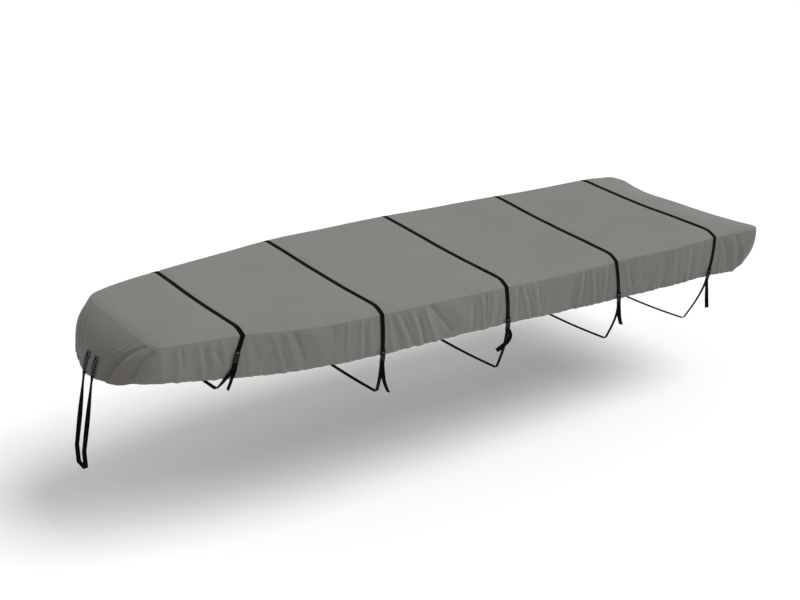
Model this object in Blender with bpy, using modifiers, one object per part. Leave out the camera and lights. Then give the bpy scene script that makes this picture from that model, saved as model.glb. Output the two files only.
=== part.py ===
"""A fitted cover for an open flat-bottomed boat with a square bow, as it sits on the boat.

X points to port, Y to the stern and Z up. The origin is under the top panel, on the centre
line at the middle strap. The boat is left out, so the cover is hollow and open below.
"""

import math
from collections import namedtuple

import bmesh
import bpy
import numpy as np
from mathutils import Matrix, Vector

# Heights in the tables are above the ground that the trailer stands on.
MOUNT_HEIGHT = 1.3905

# One row for each place round the port half, from the middle of the bow to the middle of the
# stern. The seam joins top and skirt and the hem is the lower edge. The bulge is how far the
# middle of the skirt stands out of the straight line between them, and the rise is the height
# of the top above the seam: the straps hold it down and it stands higher between them.
Place = namedtuple("Place", "name seam_x seam_y seam_z hem_x hem_y hem_z bulge rise")
PLACES = (
    Place("bow_middle", 0.000, -2.475, 1.430, 0.000, -2.712, 1.150, 0.050, 0.034),
    Place("bow_inner", 0.180, -2.475, 1.430, 0.180, -2.684, 1.160, 0.050, 0.034),
    Place("bow_outer", 0.340, -2.473, 1.432, 0.325, -2.640, 1.180, 0.045, 0.034),
    Place("bow_round", 0.450, -2.464, 1.433, 0.405, -2.582, 1.196, 0.038, 0.038),
    Place("bow_corner", 0.500, -2.436, 1.433, 0.446, -2.520, 1.197, 0.028, 0.042),
    Place("fore_quarter", 0.538, -2.344, 1.438, 0.486, -2.413, 1.188, 0.018, 0.037),
    Place("fore", 0.583, -2.155, 1.437, 0.540, -2.185, 1.163, 0.012, 0.034),
    Place("strap_1", 0.623, -1.945, 1.432, 0.585, -1.970, 1.139, 0.010, 0.035),
    Place("fore_side", 0.709, -1.548, 1.403, 0.671, -1.558, 1.112, 0.010, 0.050),
    Place("strap_2", 0.791, -1.020, 1.400, 0.750, -1.020, 1.102, 0.010, 0.037),
    Place("fore_mid", 0.816, -0.528, 1.387, 0.776, -0.528, 1.094, 0.010, 0.032),
    Place("strap_3", 0.832, -0.013, 1.367, 0.792, -0.013, 1.080, 0.010, 0.036),
    Place("mid_side", 0.830, 0.485, 1.337, 0.791, 0.485, 1.043, 0.010, 0.047),
    Place("strap_4", 0.825, 1.016, 1.323, 0.786, 1.016, 1.008, 0.010, 0.038),
    Place("aft_side", 0.819, 1.539, 1.296, 0.779, 1.534, 0.979, 0.010, 0.042),
    Place("strap_5", 0.813, 2.024, 1.287, 0.772, 2.009, 0.960, 0.014, 0.036),
    Place("stern_side", 0.814, 2.318, 1.275, 0.766, 2.213, 0.939, 0.030, 0.032),
    Place("stern_corner", 0.804, 2.480, 1.260, 0.745, 2.332, 0.925, 0.048, 0.028),
    Place("stern_round", 0.740, 2.532, 1.248, 0.668, 2.362, 0.925, 0.048, 0.028),
    Place("stern_outer", 0.580, 2.530, 1.238, 0.520, 2.356, 0.935, 0.036, 0.028),
    Place("stern_inner", 0.300, 2.522, 1.226, 0.300, 2.358, 0.950, 0.030, 0.028),
    Place("stern_middle", 0.000, 2.518, 1.222, 0.000, 2.358, 0.955, 0.026, 0.028),
)
BOW_CORNER = "bow_corner"
STERN_CORNER = "stern_corner"

# The top rises from its seam over each run, and is flat from shoulder to shoulder with a slight
# hollow along the middle. The edges at the bow and stern shape it as far in as the end reach.
SHOULDER_RUN = 0.100
BOW_RUN = 0.380
STERN_RUN = 0.380
END_REACH = 0.480
TOP_SAG = 0.010

# The edge at the stern sags on its starboard side.
DIP_X = -0.470
DIP_Y = 2.500
DIP_DEPTH = 0.022
DIP_WIDTH = 0.260
DIP_LENGTH = 0.280

CLOTH = 0.002
PANEL_GAP = 0.0020
SEAM_DROP = 0.0026

TOP_ROWS = 46
TOP_COLUMNS = 18
SIDE_COLUMNS = 92
SKIRT_ROWS = 4
BOW_COLUMNS = 24
BOW_ROWS = 6
STERN_COLUMNS = 16

# Soft folds of the side skirts: where the ridge starts at the seam, how far aft it has moved
# at the hem, and its width and height. They fan out behind each strap and hang in front of it.
Fold = namedtuple("Fold", "start lean width height")
SIDE_FOLDS = (
    Fold(-2.330, 0.02, 0.040, 0.006),
    Fold(-2.200, 0.01, 0.035, 0.006),
    Fold(-2.135, 0.03, 0.030, 0.005),
    Fold(-1.865, 0.09, 0.050, 0.007),
    Fold(-1.730, 0.08, 0.045, 0.007),
    Fold(-1.655, 0.12, 0.045, 0.009),
    Fold(-1.540, 0.11, 0.050, 0.009),
    Fold(-1.385, 0.03, 0.045, 0.005),
    Fold(-1.290, 0.00, 0.035, 0.006),
    Fold(-1.180, 0.03, 0.035, 0.007),
    Fold(-0.890, 0.12, 0.045, 0.008),
    Fold(-0.800, 0.13, 0.040, 0.008),
    Fold(-0.700, 0.14, 0.045, 0.009),
    Fold(-0.540, 0.14, 0.060, 0.009),
    Fold(-0.350, 0.07, 0.045, 0.005),
    Fold(-0.245, 0.07, 0.035, 0.006),
    Fold(0.085, 0.13, 0.040, 0.008),
    Fold(0.230, 0.12, 0.045, 0.006),
    Fold(0.400, 0.06, 0.055, 0.005),
    Fold(0.640, 0.03, 0.045, 0.006),
    Fold(0.745, 0.07, 0.040, 0.007),
    Fold(0.860, 0.05, 0.035, 0.006),
    Fold(1.130, 0.11, 0.045, 0.008),
    Fold(1.300, -0.08, 0.050, 0.007),
    Fold(1.440, 0.04, 0.050, 0.004),
    Fold(1.600, 0.04, 0.045, 0.006),
    Fold(1.790, 0.05, 0.040, 0.006),
    Fold(2.130, 0.12, 0.040, 0.008),
    Fold(2.235, 0.10, 0.045, 0.008),
)
STARBOARD_FOLD_SHIFT = 0.045
BOW_FOLDS = (
    Fold(-0.330, 0.02, 0.035, 0.006),
    Fold(-0.220, 0.01, 0.040, 0.005),
    Fold(0.330, -0.17, 0.045, 0.010),
    Fold(0.415, -0.15, 0.040, 0.009),
)
FOLD_TOP = 0.12  # folds start this share of the way down the skirt
STRAP_PRESS = 0.060  # folds are pressed flat within this distance of a strap

# Directions along the cloth are taken between places this far apart, and the skirts face away
# from a line on the centre of the cover between these two Y.
NEARBY = 0.010
NEARBY_SHARE = 0.002
SPINE = (-2.2, 2.2)
HALVINGS = 40  # steps of a search by halves

# The webbing, one row for each strap. The far and near crossings are its Y at the starboard
# and port seams. Under the boat it runs straight across between the two lower edges of the
# hull. The drop puts its buckle below the port seam, measured down the skirt. The tail is the
# free end: its length, how far aft its tip hangs, how far aft it bows, and its twist in degrees.
Strap = namedtuple(
    "Strap", "number far_y near_y hem_y drop hull_x hull_y hull_z tail lean bow twist"
)
STRAPS = (
    Strap(1, -1.950, -1.940, -2.001, 0.158, 0.450, -2.052, 1.030, 0.145, -0.060, -0.018, 75),
    Strap(2, -1.008, -1.035, -1.010, 0.328, 0.585, -0.945, 0.745, 0.225, 0.047, -0.010, 55),
    Strap(3, 0.048, -0.054, -0.004, 0.300, 0.615, 0.060, 0.655, 0.135, -0.095, 0.028, 25),
    Strap(4, 1.138, 0.961, 1.046, 0.321, 0.615, 1.115, 0.605, 0.175, 0.035, -0.012, 55),
    Strap(5, 2.075, 1.996, 2.010, 0.328, 0.615, 1.955, 0.560, 0.235, 0.030, -0.008, 25),
)
WEBBING = 0.030
WEBBING_THICKNESS = 0.0016
STRAP_LIFT = 0.0045
BUCKLE_LIFT = 0.010
CHINE_RADIUS = 0.020
ROUTE_STEP = 0.075
SEAM_STEP = 0.014
TOP_SHARES = (0.012, 0.03, 0.05, 0.075, 0.11, 0.18, 0.30, 0.42)  # from one side to the middle
TAIL_STEPS = 7
TAIL_OUT = 0.012
TURN_STEPS = 5
HEM_PASSES = 8  # steps of the search for where a strap turns over the hem

# The side-release buckle, measured from where its halves meet: up the strap, and outwards.
BUCKLE_WIDTH = 0.0375
SOCKET_LENGTH = 0.0285
SOCKET_DEPTH = 0.0085
SOCKET_ROUND = 0.0022
WINDOW_WIDTH = 0.014
WINDOW_LENGTH = 0.010
WINDOW_OUT = 0.0025
PLUG_LENGTH = 0.0185
PLUG_DEPTH = 0.0070
PLUG_ROUND = 0.0018
BUCKLE_GAP = 0.0004
RAIL_WIDTH = 0.0028
RAIL_DEPTH = 0.0050
RAIL_ROOT = 0.003
ROD_RADIUS = 0.0021
ROD_COVER = 0.0006
ROD_SIDES = 8
SOCKET_ROD = 0.0355
PLUG_ROD = -0.0240
PLUG_END_ROD = -0.0345
TURN_RADIUS = 0.0034
SEWN_LAP = 0.035
LAP_CLEAR = 0.030
UP_SHARE = 0.05  # the buckle points up to the place this share higher on the skirt
LEAD = 0.010  # the straight run of strap just below the buckle
ROD_APPROACH = 0.004
ROD_CLEAR = 0.006
TAIL_CLEAR = 0.001

# The bow strap: its ends lie opened out and sewn to the bow panel, at the width of a patch, and
# its loop passes under the tongue.
PATCH_WIDTH = 0.050
BOW_STRAP_SHIFT = 0.039  # its sewn ends sit this far to port of the centre line
BOW_STRAP_X = 0.0535
BOW_STRAP_LAP = 0.125
BOW_LIP = 0.99  # the share down the bow where the strap leaves it
BOW_LAP_POINTS = 5
BOW_LEG_STEPS = 8
TONGUE_Y = -2.800
TONGUE_TOP = 0.650
TONGUE_BOTTOM = 0.530
TONGUE_HALF = 0.058
TONGUE_SHIFT = 0.015
BOW_LIFT = 0.0065
TONGUE_RADIUS = 0.012

CLOTH_GREY = (0.235, 0.232, 0.208, 1.0)
SKIRT_GREY = (0.205, 0.202, 0.182, 1.0)
WEBBING_BLACK = (0.012, 0.012, 0.013, 1.0)
BUCKLE_BLACK = (0.018, 0.018, 0.019, 1.0)


def curve_through(knots, values):
    """A smooth function through rows of values, each at its knot."""
    knots = np.array(knots, float)
    values = np.array(values, float)
    slopes = np.gradient(values, knots, axis=0)

    def at(place):
        row = int(np.clip(np.searchsorted(knots, place) - 1, 0, len(knots) - 2))
        span = knots[row + 1] - knots[row]
        share = (place - knots[row]) / span
        cube, square = share**3, share**2
        return (
            (2 * cube - 3 * square + 1) * values[row]
            + (cube - 2 * square + share) * span * slopes[row]
            + (3 * square - 2 * cube) * values[row + 1]
            + (cube - square) * span * slopes[row + 1]
        )

    return at


def rounded(distance, run):
    """0 at the edge and 1 from the run onwards, steepest at the edge."""
    share = min(max(distance / run, 0.0), 1.0)
    return 1 - (1 - share) ** 2


def eased(share):
    """0 at no share and 1 at a whole one, level at both."""
    share = min(max(share, 0.0), 1.0)
    return share**2 * (3 - 2 * share)


def outline():
    """The seam and hem of the port half against the distance along the seam from the bow."""
    seam = np.array([(p.seam_x, p.seam_y) for p in PLACES])
    steps = np.linalg.norm(np.diff(seam, axis=0), axis=1)
    along = np.concatenate([[0.0], np.cumsum(steps)])
    rows = np.array([p[1:] for p in PLACES])
    rows[:, (2, 5)] -= MOUNT_HEIGHT
    mirror = np.array([-1, 1, 1, -1, 1, 1, 1, 1])
    before = rows[1] * mirror
    after = rows[-2] * mirror
    knots = np.concatenate([[-along[1]], along, [2 * along[-1] - along[-2]]])
    table = np.vstack([before, rows, after])
    names = {p.name: float(a) for p, a in zip(PLACES, along)}
    return curve_through(knots, table), names, float(along[-1])


EDGE, ALONG, HALF_LENGTH = outline()
BOW_END = ALONG[BOW_CORNER]
STERN_START = ALONG[STERN_CORNER]


def around(distance):
    """Seam, hem, bulge and rise at a distance round the cover: below zero it is starboard."""
    side = 1.0
    if distance < 0:
        side, distance = -1.0, -distance
    if distance > HALF_LENGTH:
        side, distance = -side, 2 * HALF_LENGTH - distance
    row = EDGE(distance)
    seam = np.array([row[0] * side, row[1], row[2]])
    hem = np.array([row[3] * side, row[4], row[5]])
    off_x = (seam[0] - DIP_X) / DIP_WIDTH
    off_y = (seam[1] - DIP_Y) / DIP_LENGTH
    seam[2] -= DIP_DEPTH * math.exp(-(off_x**2) - off_y**2)
    return seam, hem, row[6], row[7]


def strap_y(strap, side, down):
    """Where a strap runs along Y at this share down one side's skirt."""
    if side < 0:
        return strap.far_y
    return strap.near_y + (strap.hem_y - strap.near_y) * down


def strap_mask(side, y, down):
    """0 at a strap, rising to 1 away from it."""
    nearest = min(abs(y - strap_y(strap, side, down)) for strap in STRAPS)
    return eased(nearest / STRAP_PRESS)


def fold_height(folds, place, down, shift=0.0):
    """How far the folds stand out at this place along the skirt and this share down it."""
    height = 0.0
    for fold in folds:
        off = (place - shift - fold.start - fold.lean * down) / fold.width
        height += fold.height * math.exp(-off * off)
    share = min(max((down - FOLD_TOP) / (1 - FOLD_TOP), 0.0), 1.0)
    return height * math.sin(0.5 * math.pi * share)


def plain_skirt(distance, down):
    """A point on the skirt without its folds."""
    seam, hem, bulge, _ = around(distance)
    chord = hem - seam
    seam_next, hem_next, _, _ = around(distance + NEARBY)
    seam_last, hem_last, _, _ = around(distance - NEARBY)
    tangent = (seam_next - seam_last) * (1 - down) + (hem_next - hem_last) * down
    normal = np.cross(chord, tangent)
    normal /= np.linalg.norm(normal)
    if np.dot(normal[:2], seam[:2] - (0.0, np.clip(seam[1], *SPINE))) < 0:
        normal = -normal
    point = seam + chord * down + normal * bulge * 4 * down * (1 - down)
    return point, normal


def side_skirt(side):
    """The side skirt of one side as a function of the shares along and down it."""

    def at(along, down):
        distance = BOW_END + (STERN_START - BOW_END) * along
        point, normal = plain_skirt(side * distance, down)
        shift = STARBOARD_FOLD_SHIFT if side < 0 else 0.0
        height = fold_height(SIDE_FOLDS, point[1], down, shift)
        return point + normal * height * strap_mask(side, point[1], down)

    return at


def bow_skirt(along, down):
    point, normal = plain_skirt((2 * along - 1) * BOW_END, down)
    return point + normal * fold_height(BOW_FOLDS, point[0], down)


def stern_skirt(along, down):
    distance = STERN_START + 2 * (HALF_LENGTH - STERN_START) * along
    return plain_skirt(distance, down)[0]


def top_at(across, along):
    """A point on the top: across runs from port to starboard and along from bow to stern."""
    length = STERN_START - BOW_END
    port, _, _, rise = around(BOW_END + length * along)
    starboard = around(-BOW_END - length * along)[0]
    bow = around(BOW_END * (1 - 2 * across))[0]
    stern = around(STERN_START + 2 * (HALF_LENGTH - STERN_START) * across)[0]
    corners = [around(d)[0] for d in (BOW_END, -BOW_END, STERN_START, -STERN_START)]
    point = port * (1 - across) + starboard * across
    fore = corners[0] * (1 - across) + corners[1] * across
    aft = corners[2] * (1 - across) + corners[3] * across
    point += (bow - fore) * eased(1 - length * along / END_REACH)
    point += (stern - aft) * eased(1 - length * (1 - along) / END_REACH)
    to_side = min(across, 1 - across) * np.linalg.norm(port - starboard)
    ends = rounded(length * along, BOW_RUN) * rounded(length * (1 - along), STERN_RUN)
    point[2] += rise * rounded(to_side, SHOULDER_RUN) * ends
    point[2] -= TOP_SAG * math.sin(math.pi * across) ** 2 * ends
    return point


def top_spread(column, along):
    """A point on the top with its columns closer together at the shoulders."""
    return top_at(0.5 - 0.5 * math.cos(math.pi * column), along)


def new_material(name, color, roughness):
    material = bpy.data.materials.new(name)
    material.use_nodes = True
    shader = material.node_tree.nodes["Principled BSDF"]
    shader.inputs["Base Color"].default_value = color
    shader.inputs["Roughness"].default_value = roughness
    shader.inputs["Metallic"].default_value = 0.0
    material.diffuse_color = color
    return material


def add_object(name, mesh, material, collection):
    if not mesh.materials:
        mesh.materials.append(material)
    obj = bpy.data.objects.new(name, mesh)
    collection.objects.link(obj)
    return obj


def mapped_grid(name, columns, rows, place):
    """A grid whose points go where the function of their two shares says."""
    bm = bmesh.new()
    bmesh.ops.create_grid(bm, x_segments=columns, y_segments=rows, size=0.5)
    for vert in bm.verts:
        vert.co = Vector(place(vert.co.x + 0.5, vert.co.y + 0.5))
    mesh = bpy.data.meshes.new(name)
    bm.to_mesh(mesh)
    bm.free()
    mesh.shade_smooth()
    return mesh


def cloth_panel(name, columns, rows, place, outward, material, collection):
    """A panel of cloth: the mapped grid is its outer face, and its thickness goes inwards."""
    mesh = mapped_grid(name, columns, rows, place)
    middle = mesh.polygons[len(mesh.polygons) // 2]
    if middle.normal.dot(Vector(outward)) < 0:
        mesh.flip_normals()
    panel = add_object(name, mesh, material, collection)
    wall = panel.modifiers.new("thickness", "SOLIDIFY")
    wall.thickness = CLOTH
    wall.offset = -1.0
    wall.use_even_offset = True
    return panel


def trimmed(place, length, height):
    """The same skirt, shortened at both ends and at its seam to leave its gaps."""
    end = PANEL_GAP / 2 / length
    top = SEAM_DROP / height

    def at(along, down):
        return place(end + along * (1 - 2 * end), top + down * (1 - top))

    return at


def make_panels(collection):
    top_grey = new_material("top_cloth", CLOTH_GREY, 0.85)
    skirt_grey = new_material("skirt_cloth", SKIRT_GREY, 0.88)
    height = PLACES[0].seam_z - PLACES[0].hem_z
    side_length = STERN_START - BOW_END
    stern_length = 2 * (HALF_LENGTH - STERN_START)
    bow = trimmed(bow_skirt, 2 * BOW_END, height)
    stern = trimmed(stern_skirt, stern_length, height)
    cloth_panel("top_panel", TOP_COLUMNS, TOP_ROWS, top_spread, (0, 0, 1), top_grey, collection)
    for name, side in (("side_panel_port", 1.0), ("side_panel_starboard", -1.0)):
        place = trimmed(side_skirt(side), side_length, height)
        cloth_panel(
            name, SIDE_COLUMNS, SKIRT_ROWS, place, (side, 0, 0), skirt_grey, collection
        )
    cloth_panel("bow_panel", BOW_COLUMNS, BOW_ROWS, bow, (0, -1, 0), skirt_grey, collection)
    cloth_panel(
        "stern_panel", STERN_COLUMNS, SKIRT_ROWS, stern, (0, 1, 0), skirt_grey, collection
    )


def share_along(side, y):
    """The share along a side skirt at which its seam has this Y."""
    low, high = 0.0, 1.0
    for _ in range(HALVINGS):
        middle = 0.5 * (low + high)
        distance = side * (BOW_END + (STERN_START - BOW_END) * middle)
        if around(distance)[0][1] < y:
            low = middle
        else:
            high = middle
    return low


def skirt_lift(side, along, down, lift):
    """A point this far off the plain skirt, with the directions down and along it."""
    distance = side * (BOW_END + (STERN_START - BOW_END) * along)
    point, normal = plain_skirt(distance, down)
    ahead, _ = plain_skirt(distance + side * NEARBY, down)
    return point + normal * lift, ahead - point


def top_lift(across, along, lift):
    point = top_at(across, along)
    low, high = max(across - NEARBY_SHARE, 0.0), min(across + NEARBY_SHARE, 1.0)
    tangent = top_at(high, along) - top_at(low, along)
    ahead = top_at(across, along + NEARBY_SHARE) - point
    normal = np.cross(ahead, tangent)
    normal *= math.copysign(1.0, normal[2]) / np.linalg.norm(normal)
    return point + normal * lift, ahead


def spaced(low, high, step):
    count = max(int(round(abs(high - low) / step)), 1)
    return np.linspace(low, high, count + 1)


def skirt_height(strap, side):
    """The length of the skirt from seam to hem where this strap crosses it."""
    along = share_along(side, strap_y(strap, side, 0.0))
    seam, hem, _, _ = around(side * (BOW_END + (STERN_START - BOW_END) * along))
    return np.linalg.norm(hem - seam)


def skirt_leg(strap, side, downs):
    """The strap's points on one skirt, at these distances down from the seam."""
    height = skirt_height(strap, side)
    points = []
    for down in downs:
        share = down / height
        along = share_along(side, strap_y(strap, side, share))
        points.append(skirt_lift(side, along, share, STRAP_LIFT))
    return points


def seam_turn(strap, side):
    """The strap's point where it turns over the seam, off both the top and the skirt."""
    along = share_along(side, strap_y(strap, side, 0.0))
    across = 0.0 if side > 0 else 1.0
    corner, ahead = top_lift(across, along, 0.0)
    above = (top_lift(across, along, STRAP_LIFT)[0] - corner) / STRAP_LIFT
    beside = (skirt_lift(side, along, 0.0, STRAP_LIFT)[0] - corner) / STRAP_LIFT
    lift = (above + beside) / (1 + np.dot(above, beside))
    return corner + lift * STRAP_LIFT, ahead


def top_leg(strap):
    """The strap's points over the top, from the port shoulder to the starboard one."""
    port = share_along(1.0, strap.near_y)
    starboard = share_along(-1.0, strap.far_y)
    shares = [*TOP_SHARES, 0.5, *(1 - share for share in reversed(TOP_SHARES))]
    return [
        top_lift(across, port + (starboard - port) * across, STRAP_LIFT)
        for across in shares
    ]


def fillet(before, corner, after, radius):
    """Points of an arc that rounds a corner of a route."""
    one = (before - corner) / np.linalg.norm(before - corner)
    two = (after - corner) / np.linalg.norm(after - corner)
    half = 0.5 * math.acos(float(np.clip(np.dot(one, two), -1, 1)))
    reach = radius / math.tan(half)
    centre = corner + (one + two) / np.linalg.norm(one + two) * radius / math.sin(half)
    first = corner + one * reach - centre
    last = corner + two * reach - centre
    sweep = math.pi - 2 * half
    points = []
    for share in np.linspace(0, 1, TURN_STEPS):
        blend = (
            math.sin((1 - share) * sweep) * first + math.sin(share * sweep) * last
        ) / math.sin(sweep)
        points.append(centre + blend)
    return points


def buckle_frame(strap):
    """Where the buckle's halves meet, and its directions across, up and out."""
    share = strap.drop / skirt_height(strap, 1.0)
    y = strap_y(strap, 1.0, share)
    point, _ = skirt_lift(1.0, share_along(1.0, y), share, BUCKLE_LIFT)
    above, across = skirt_lift(1.0, share_along(1.0, y), share - UP_SHARE, BUCKLE_LIFT)
    up = above - point
    up[1] = (strap.near_y - strap.hem_y) * UP_SHARE
    up = up / np.linalg.norm(up)
    out = np.cross(across, up)
    out *= math.copysign(1.0, out[0]) / np.linalg.norm(out)
    return point, np.cross(up, out), up, out


def from_buckle(frame, along, out):
    point, _, up, outward = frame
    return point + up * along + outward * out


def rod_turn(frame, rod, first, last):
    """Points round a rod of the buckle between two angles, counted from outwards to up."""
    points = []
    for angle in np.radians(np.linspace(first, last, TURN_STEPS + 2)):
        up = rod + TURN_RADIUS * math.sin(angle)
        points.append(from_buckle(frame, up, TURN_RADIUS * math.cos(angle)))
    return points


def tail_points(strap, frame):
    """The free end: it comes off the rod outwards and hangs, bent and twisted a little."""
    start = from_buckle(frame, PLUG_END_ROD - ROD_CLEAR, TURN_RADIUS + TAIL_CLEAR)
    _, across, _, outward = frame
    points = [(start, across)]
    for share in np.linspace(0, 1, TAIL_STEPS + 1)[1:]:
        drop = strap.tail * share
        out = TAIL_OUT * math.sin(math.pi * share)
        aft = strap.lean * share**2 + strap.bow * math.sin(math.pi * share)
        turn = math.radians(strap.twist) * min(2 * share, 1.0)
        width = across * math.cos(turn) + outward * math.sin(turn)
        points.append((start + np.array([out, aft, -drop]), width))
    return points


def hem_turn(lead, hull):
    """The point where a strap that leads down to the hull turns over the hem of the skirt."""
    share = 0.5
    for _ in range(HEM_PASSES):
        y = lead[1] + (hull[1] - lead[1]) * share
        along = share_along(1.0, y)
        point, ahead = skirt_lift(1.0, along, 1.0, STRAP_LIFT)
        share = (lead[2] - point[2]) / (lead[2] - hull[2])
    return [(point, ahead)]


def strap_route(strap):
    """Points and width directions from the sewn end, over and under the boat, to the tail."""
    frame = buckle_frame(strap)
    across = frame[1]
    low_seam = strap.drop - SOCKET_ROD - SEWN_LAP - LAP_CLEAR
    upper = skirt_leg(strap, 1.0, spaced(low_seam, SEAM_STEP, ROUTE_STEP))
    route = [(from_buckle(frame, SOCKET_ROD + SEWN_LAP, TURN_RADIUS), across)]
    route += [(p, across) for p in rod_turn(frame, SOCKET_ROD, 0, -180)]
    route += upper + [seam_turn(strap, 1.0)] + top_leg(strap) + [seam_turn(strap, -1.0)]
    far_downs = spaced(SEAM_STEP, skirt_height(strap, -1.0), ROUTE_STEP)
    route += skirt_leg(strap, -1.0, far_downs)
    aft = np.array([0.0, 1.0, 0.0])
    height = strap.hull_z - MOUNT_HEIGHT
    starboard = np.array([-strap.hull_x, strap.hull_y, height])
    port = np.array([strap.hull_x, strap.hull_y, height])
    lead = from_buckle(frame, PLUG_END_ROD - LEAD, -TURN_RADIUS)
    over_hem = []
    if strap.drop - PLUG_END_ROD + LEAD < skirt_height(strap, 1.0):
        over_hem = hem_turn(lead, port)
    first = over_hem[0][0] if over_hem else lead
    route += [(p, -aft) for p in fillet(route[-1][0], starboard, port, CHINE_RADIUS)]
    route += [(p, -aft) for p in fillet(starboard, port, first, CHINE_RADIUS)]
    route += over_hem + [(lead, across)]
    for up in (PLUG_END_ROD - ROD_CLEAR, PLUG_ROD - ROD_APPROACH):
        route.append((from_buckle(frame, up, -TURN_RADIUS), across))
    route += [(p, across) for p in rod_turn(frame, PLUG_ROD, 180, 0)]
    return route + tail_points(strap, frame)


def ribbon(name, route, spans, material, collection):
    """Flat webbing along a route, this wide at each point, given its thickness."""
    points = np.array([p for p, _ in route])
    widths = np.array([w for _, w in route])
    steps = np.diff(points, axis=0)
    steps /= np.linalg.norm(steps, axis=1)[:, None]
    tangents = np.vstack([steps[:1], steps[1:] + steps[:-1], steps[-1:]])
    tangents /= np.linalg.norm(tangents, axis=1)[:, None]
    widths -= tangents * np.sum(widths * tangents, axis=1)[:, None]
    widths /= np.linalg.norm(widths, axis=1)[:, None]
    for row in range(1, len(widths)):
        if np.dot(widths[row], widths[row - 1]) < 0:
            widths[row] = -widths[row]
    last = len(points) - 1

    def place(along, across):
        row = int(round(along * last))
        return points[row] + widths[row] * spans[row] * (across - 0.5)

    mesh = mapped_grid(name, last, 1, place)
    strip = add_object(name, mesh, material, collection)
    wall = strip.modifiers.new("thickness", "SOLIDIFY")
    wall.thickness = WEBBING_THICKNESS
    wall.offset = 0.0
    wall.use_even_offset = True
    return strip


def box(bm, size, centre):
    made = bmesh.ops.create_cube(bm, size=1.0)["verts"]
    bmesh.ops.scale(bm, vec=Vector(size), verts=made)
    bmesh.ops.translate(bm, vec=Vector(centre), verts=made)
    return made


def rounded_block(bm, size, centre, radius):
    made = box(bm, size, centre)
    edges = {edge for vert in made for edge in vert.link_edges}
    bmesh.ops.bevel(
        bm, geom=list(edges), offset=radius, segments=1, profile=0.5, affect="EDGES"
    )


def shape_object(name, collection, build):
    bm = bmesh.new()
    build(bm)
    mesh = bpy.data.meshes.new(name)
    bm.to_mesh(mesh)
    bm.free()
    obj = bpy.data.objects.new(name, mesh)
    collection.objects.link(obj)
    obj.hide_render = True
    obj.display_type = "WIRE"
    return obj


def rod(bm, height):
    turn = Matrix.Translation((0, height, 0)) @ Matrix.Rotation(math.pi / 2, 4, "Y")
    bmesh.ops.create_cone(
        bm,
        cap_ends=True,
        segments=ROD_SIDES,
        radius1=ROD_RADIUS,
        radius2=ROD_RADIUS,
        depth=BUCKLE_WIDTH - RAIL_WIDTH,
        matrix=turn,
    )


def joined_mesh(name, body, others, helpers):
    """One mesh of the body with the other shapes joined to it."""
    base = shape_object(name + "_body", helpers, body)
    for number, (operation, build) in enumerate(others):
        tool = shape_object(f"{name}_tool_{number}", helpers, build)
        step = base.modifiers.new(f"step_{number}", "BOOLEAN")
        step.operation = operation
        step.object = tool
    bpy.context.view_layer.update()
    graph = bpy.context.evaluated_depsgraph_get()
    mesh = bpy.data.meshes.new_from_object(base.evaluated_get(graph))
    mesh.name = name
    return mesh


def rail_pair(bm, low, high):
    middle = 0.5 * (low + high)
    x = 0.5 * (BUCKLE_WIDTH - RAIL_WIDTH)
    for side in (-1, 1):
        box(bm, (RAIL_WIDTH, high - low, RAIL_DEPTH), (side * x, middle, 0))


def socket_mesh(helpers):
    """The upper half: a flat sleeve with side windows, and a rod for the sewn end."""
    length = SOCKET_LENGTH - BUCKLE_GAP
    centre = BUCKLE_GAP + 0.5 * length
    window = (WINDOW_WIDTH, WINDOW_LENGTH, 2 * SOCKET_DEPTH)
    x = 0.5 * BUCKLE_WIDTH + WINDOW_OUT
    top = SOCKET_ROD + ROD_RADIUS + ROD_COVER

    def body(bm):
        size = (BUCKLE_WIDTH, length, SOCKET_DEPTH)
        rounded_block(bm, size, (0, centre, 0), SOCKET_ROUND)

    def rails(bm):
        rail_pair(bm, SOCKET_LENGTH - RAIL_ROOT, top)

    def windows(bm):
        for side in (-1, 1):
            box(bm, window, (side * x, centre, 0))

    others = (
        ("DIFFERENCE", windows),
        ("UNION", rails),
        ("UNION", lambda bm: rod(bm, SOCKET_ROD)),
    )
    return joined_mesh("buckle_socket", body, others, helpers)


def plug_mesh(helpers):
    """The lower half: a flange with two rods, over which the free strap is threaded."""
    low = PLUG_END_ROD - ROD_RADIUS - ROD_COVER

    def body(bm):
        size = (BUCKLE_WIDTH, PLUG_LENGTH, PLUG_DEPTH)
        rounded_block(bm, size, (0, -0.5 * PLUG_LENGTH, 0), PLUG_ROUND)

    def rails(bm):
        rail_pair(bm, low, RAIL_ROOT - PLUG_LENGTH)

    others = (
        ("UNION", rails),
        ("UNION", lambda bm: rod(bm, PLUG_ROD)),
        ("UNION", lambda bm: rod(bm, PLUG_END_ROD)),
    )
    return joined_mesh("buckle_plug", body, others, helpers)


def make_straps(collection, helpers):
    webbing = new_material("webbing", WEBBING_BLACK, 0.75)
    plastic = new_material("buckle_plastic", BUCKLE_BLACK, 0.45)
    socket = socket_mesh(helpers)
    plug = plug_mesh(helpers)
    for strap in STRAPS:
        route = strap_route(strap)
        spans = [WEBBING] * len(route)
        ribbon(f"strap_{strap.number}", route, spans, webbing, collection)
        point, across, up, out = buckle_frame(strap)
        place = Matrix.Identity(4)
        for column, axis in enumerate((across, up, out, point)):
            place.col[column][:3] = axis
        for name, mesh in (("buckle_socket", socket), ("buckle_plug", plug)):
            half = add_object(f"{name}_{strap.number}", mesh, plastic, collection)
            half.matrix_world = place


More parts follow.
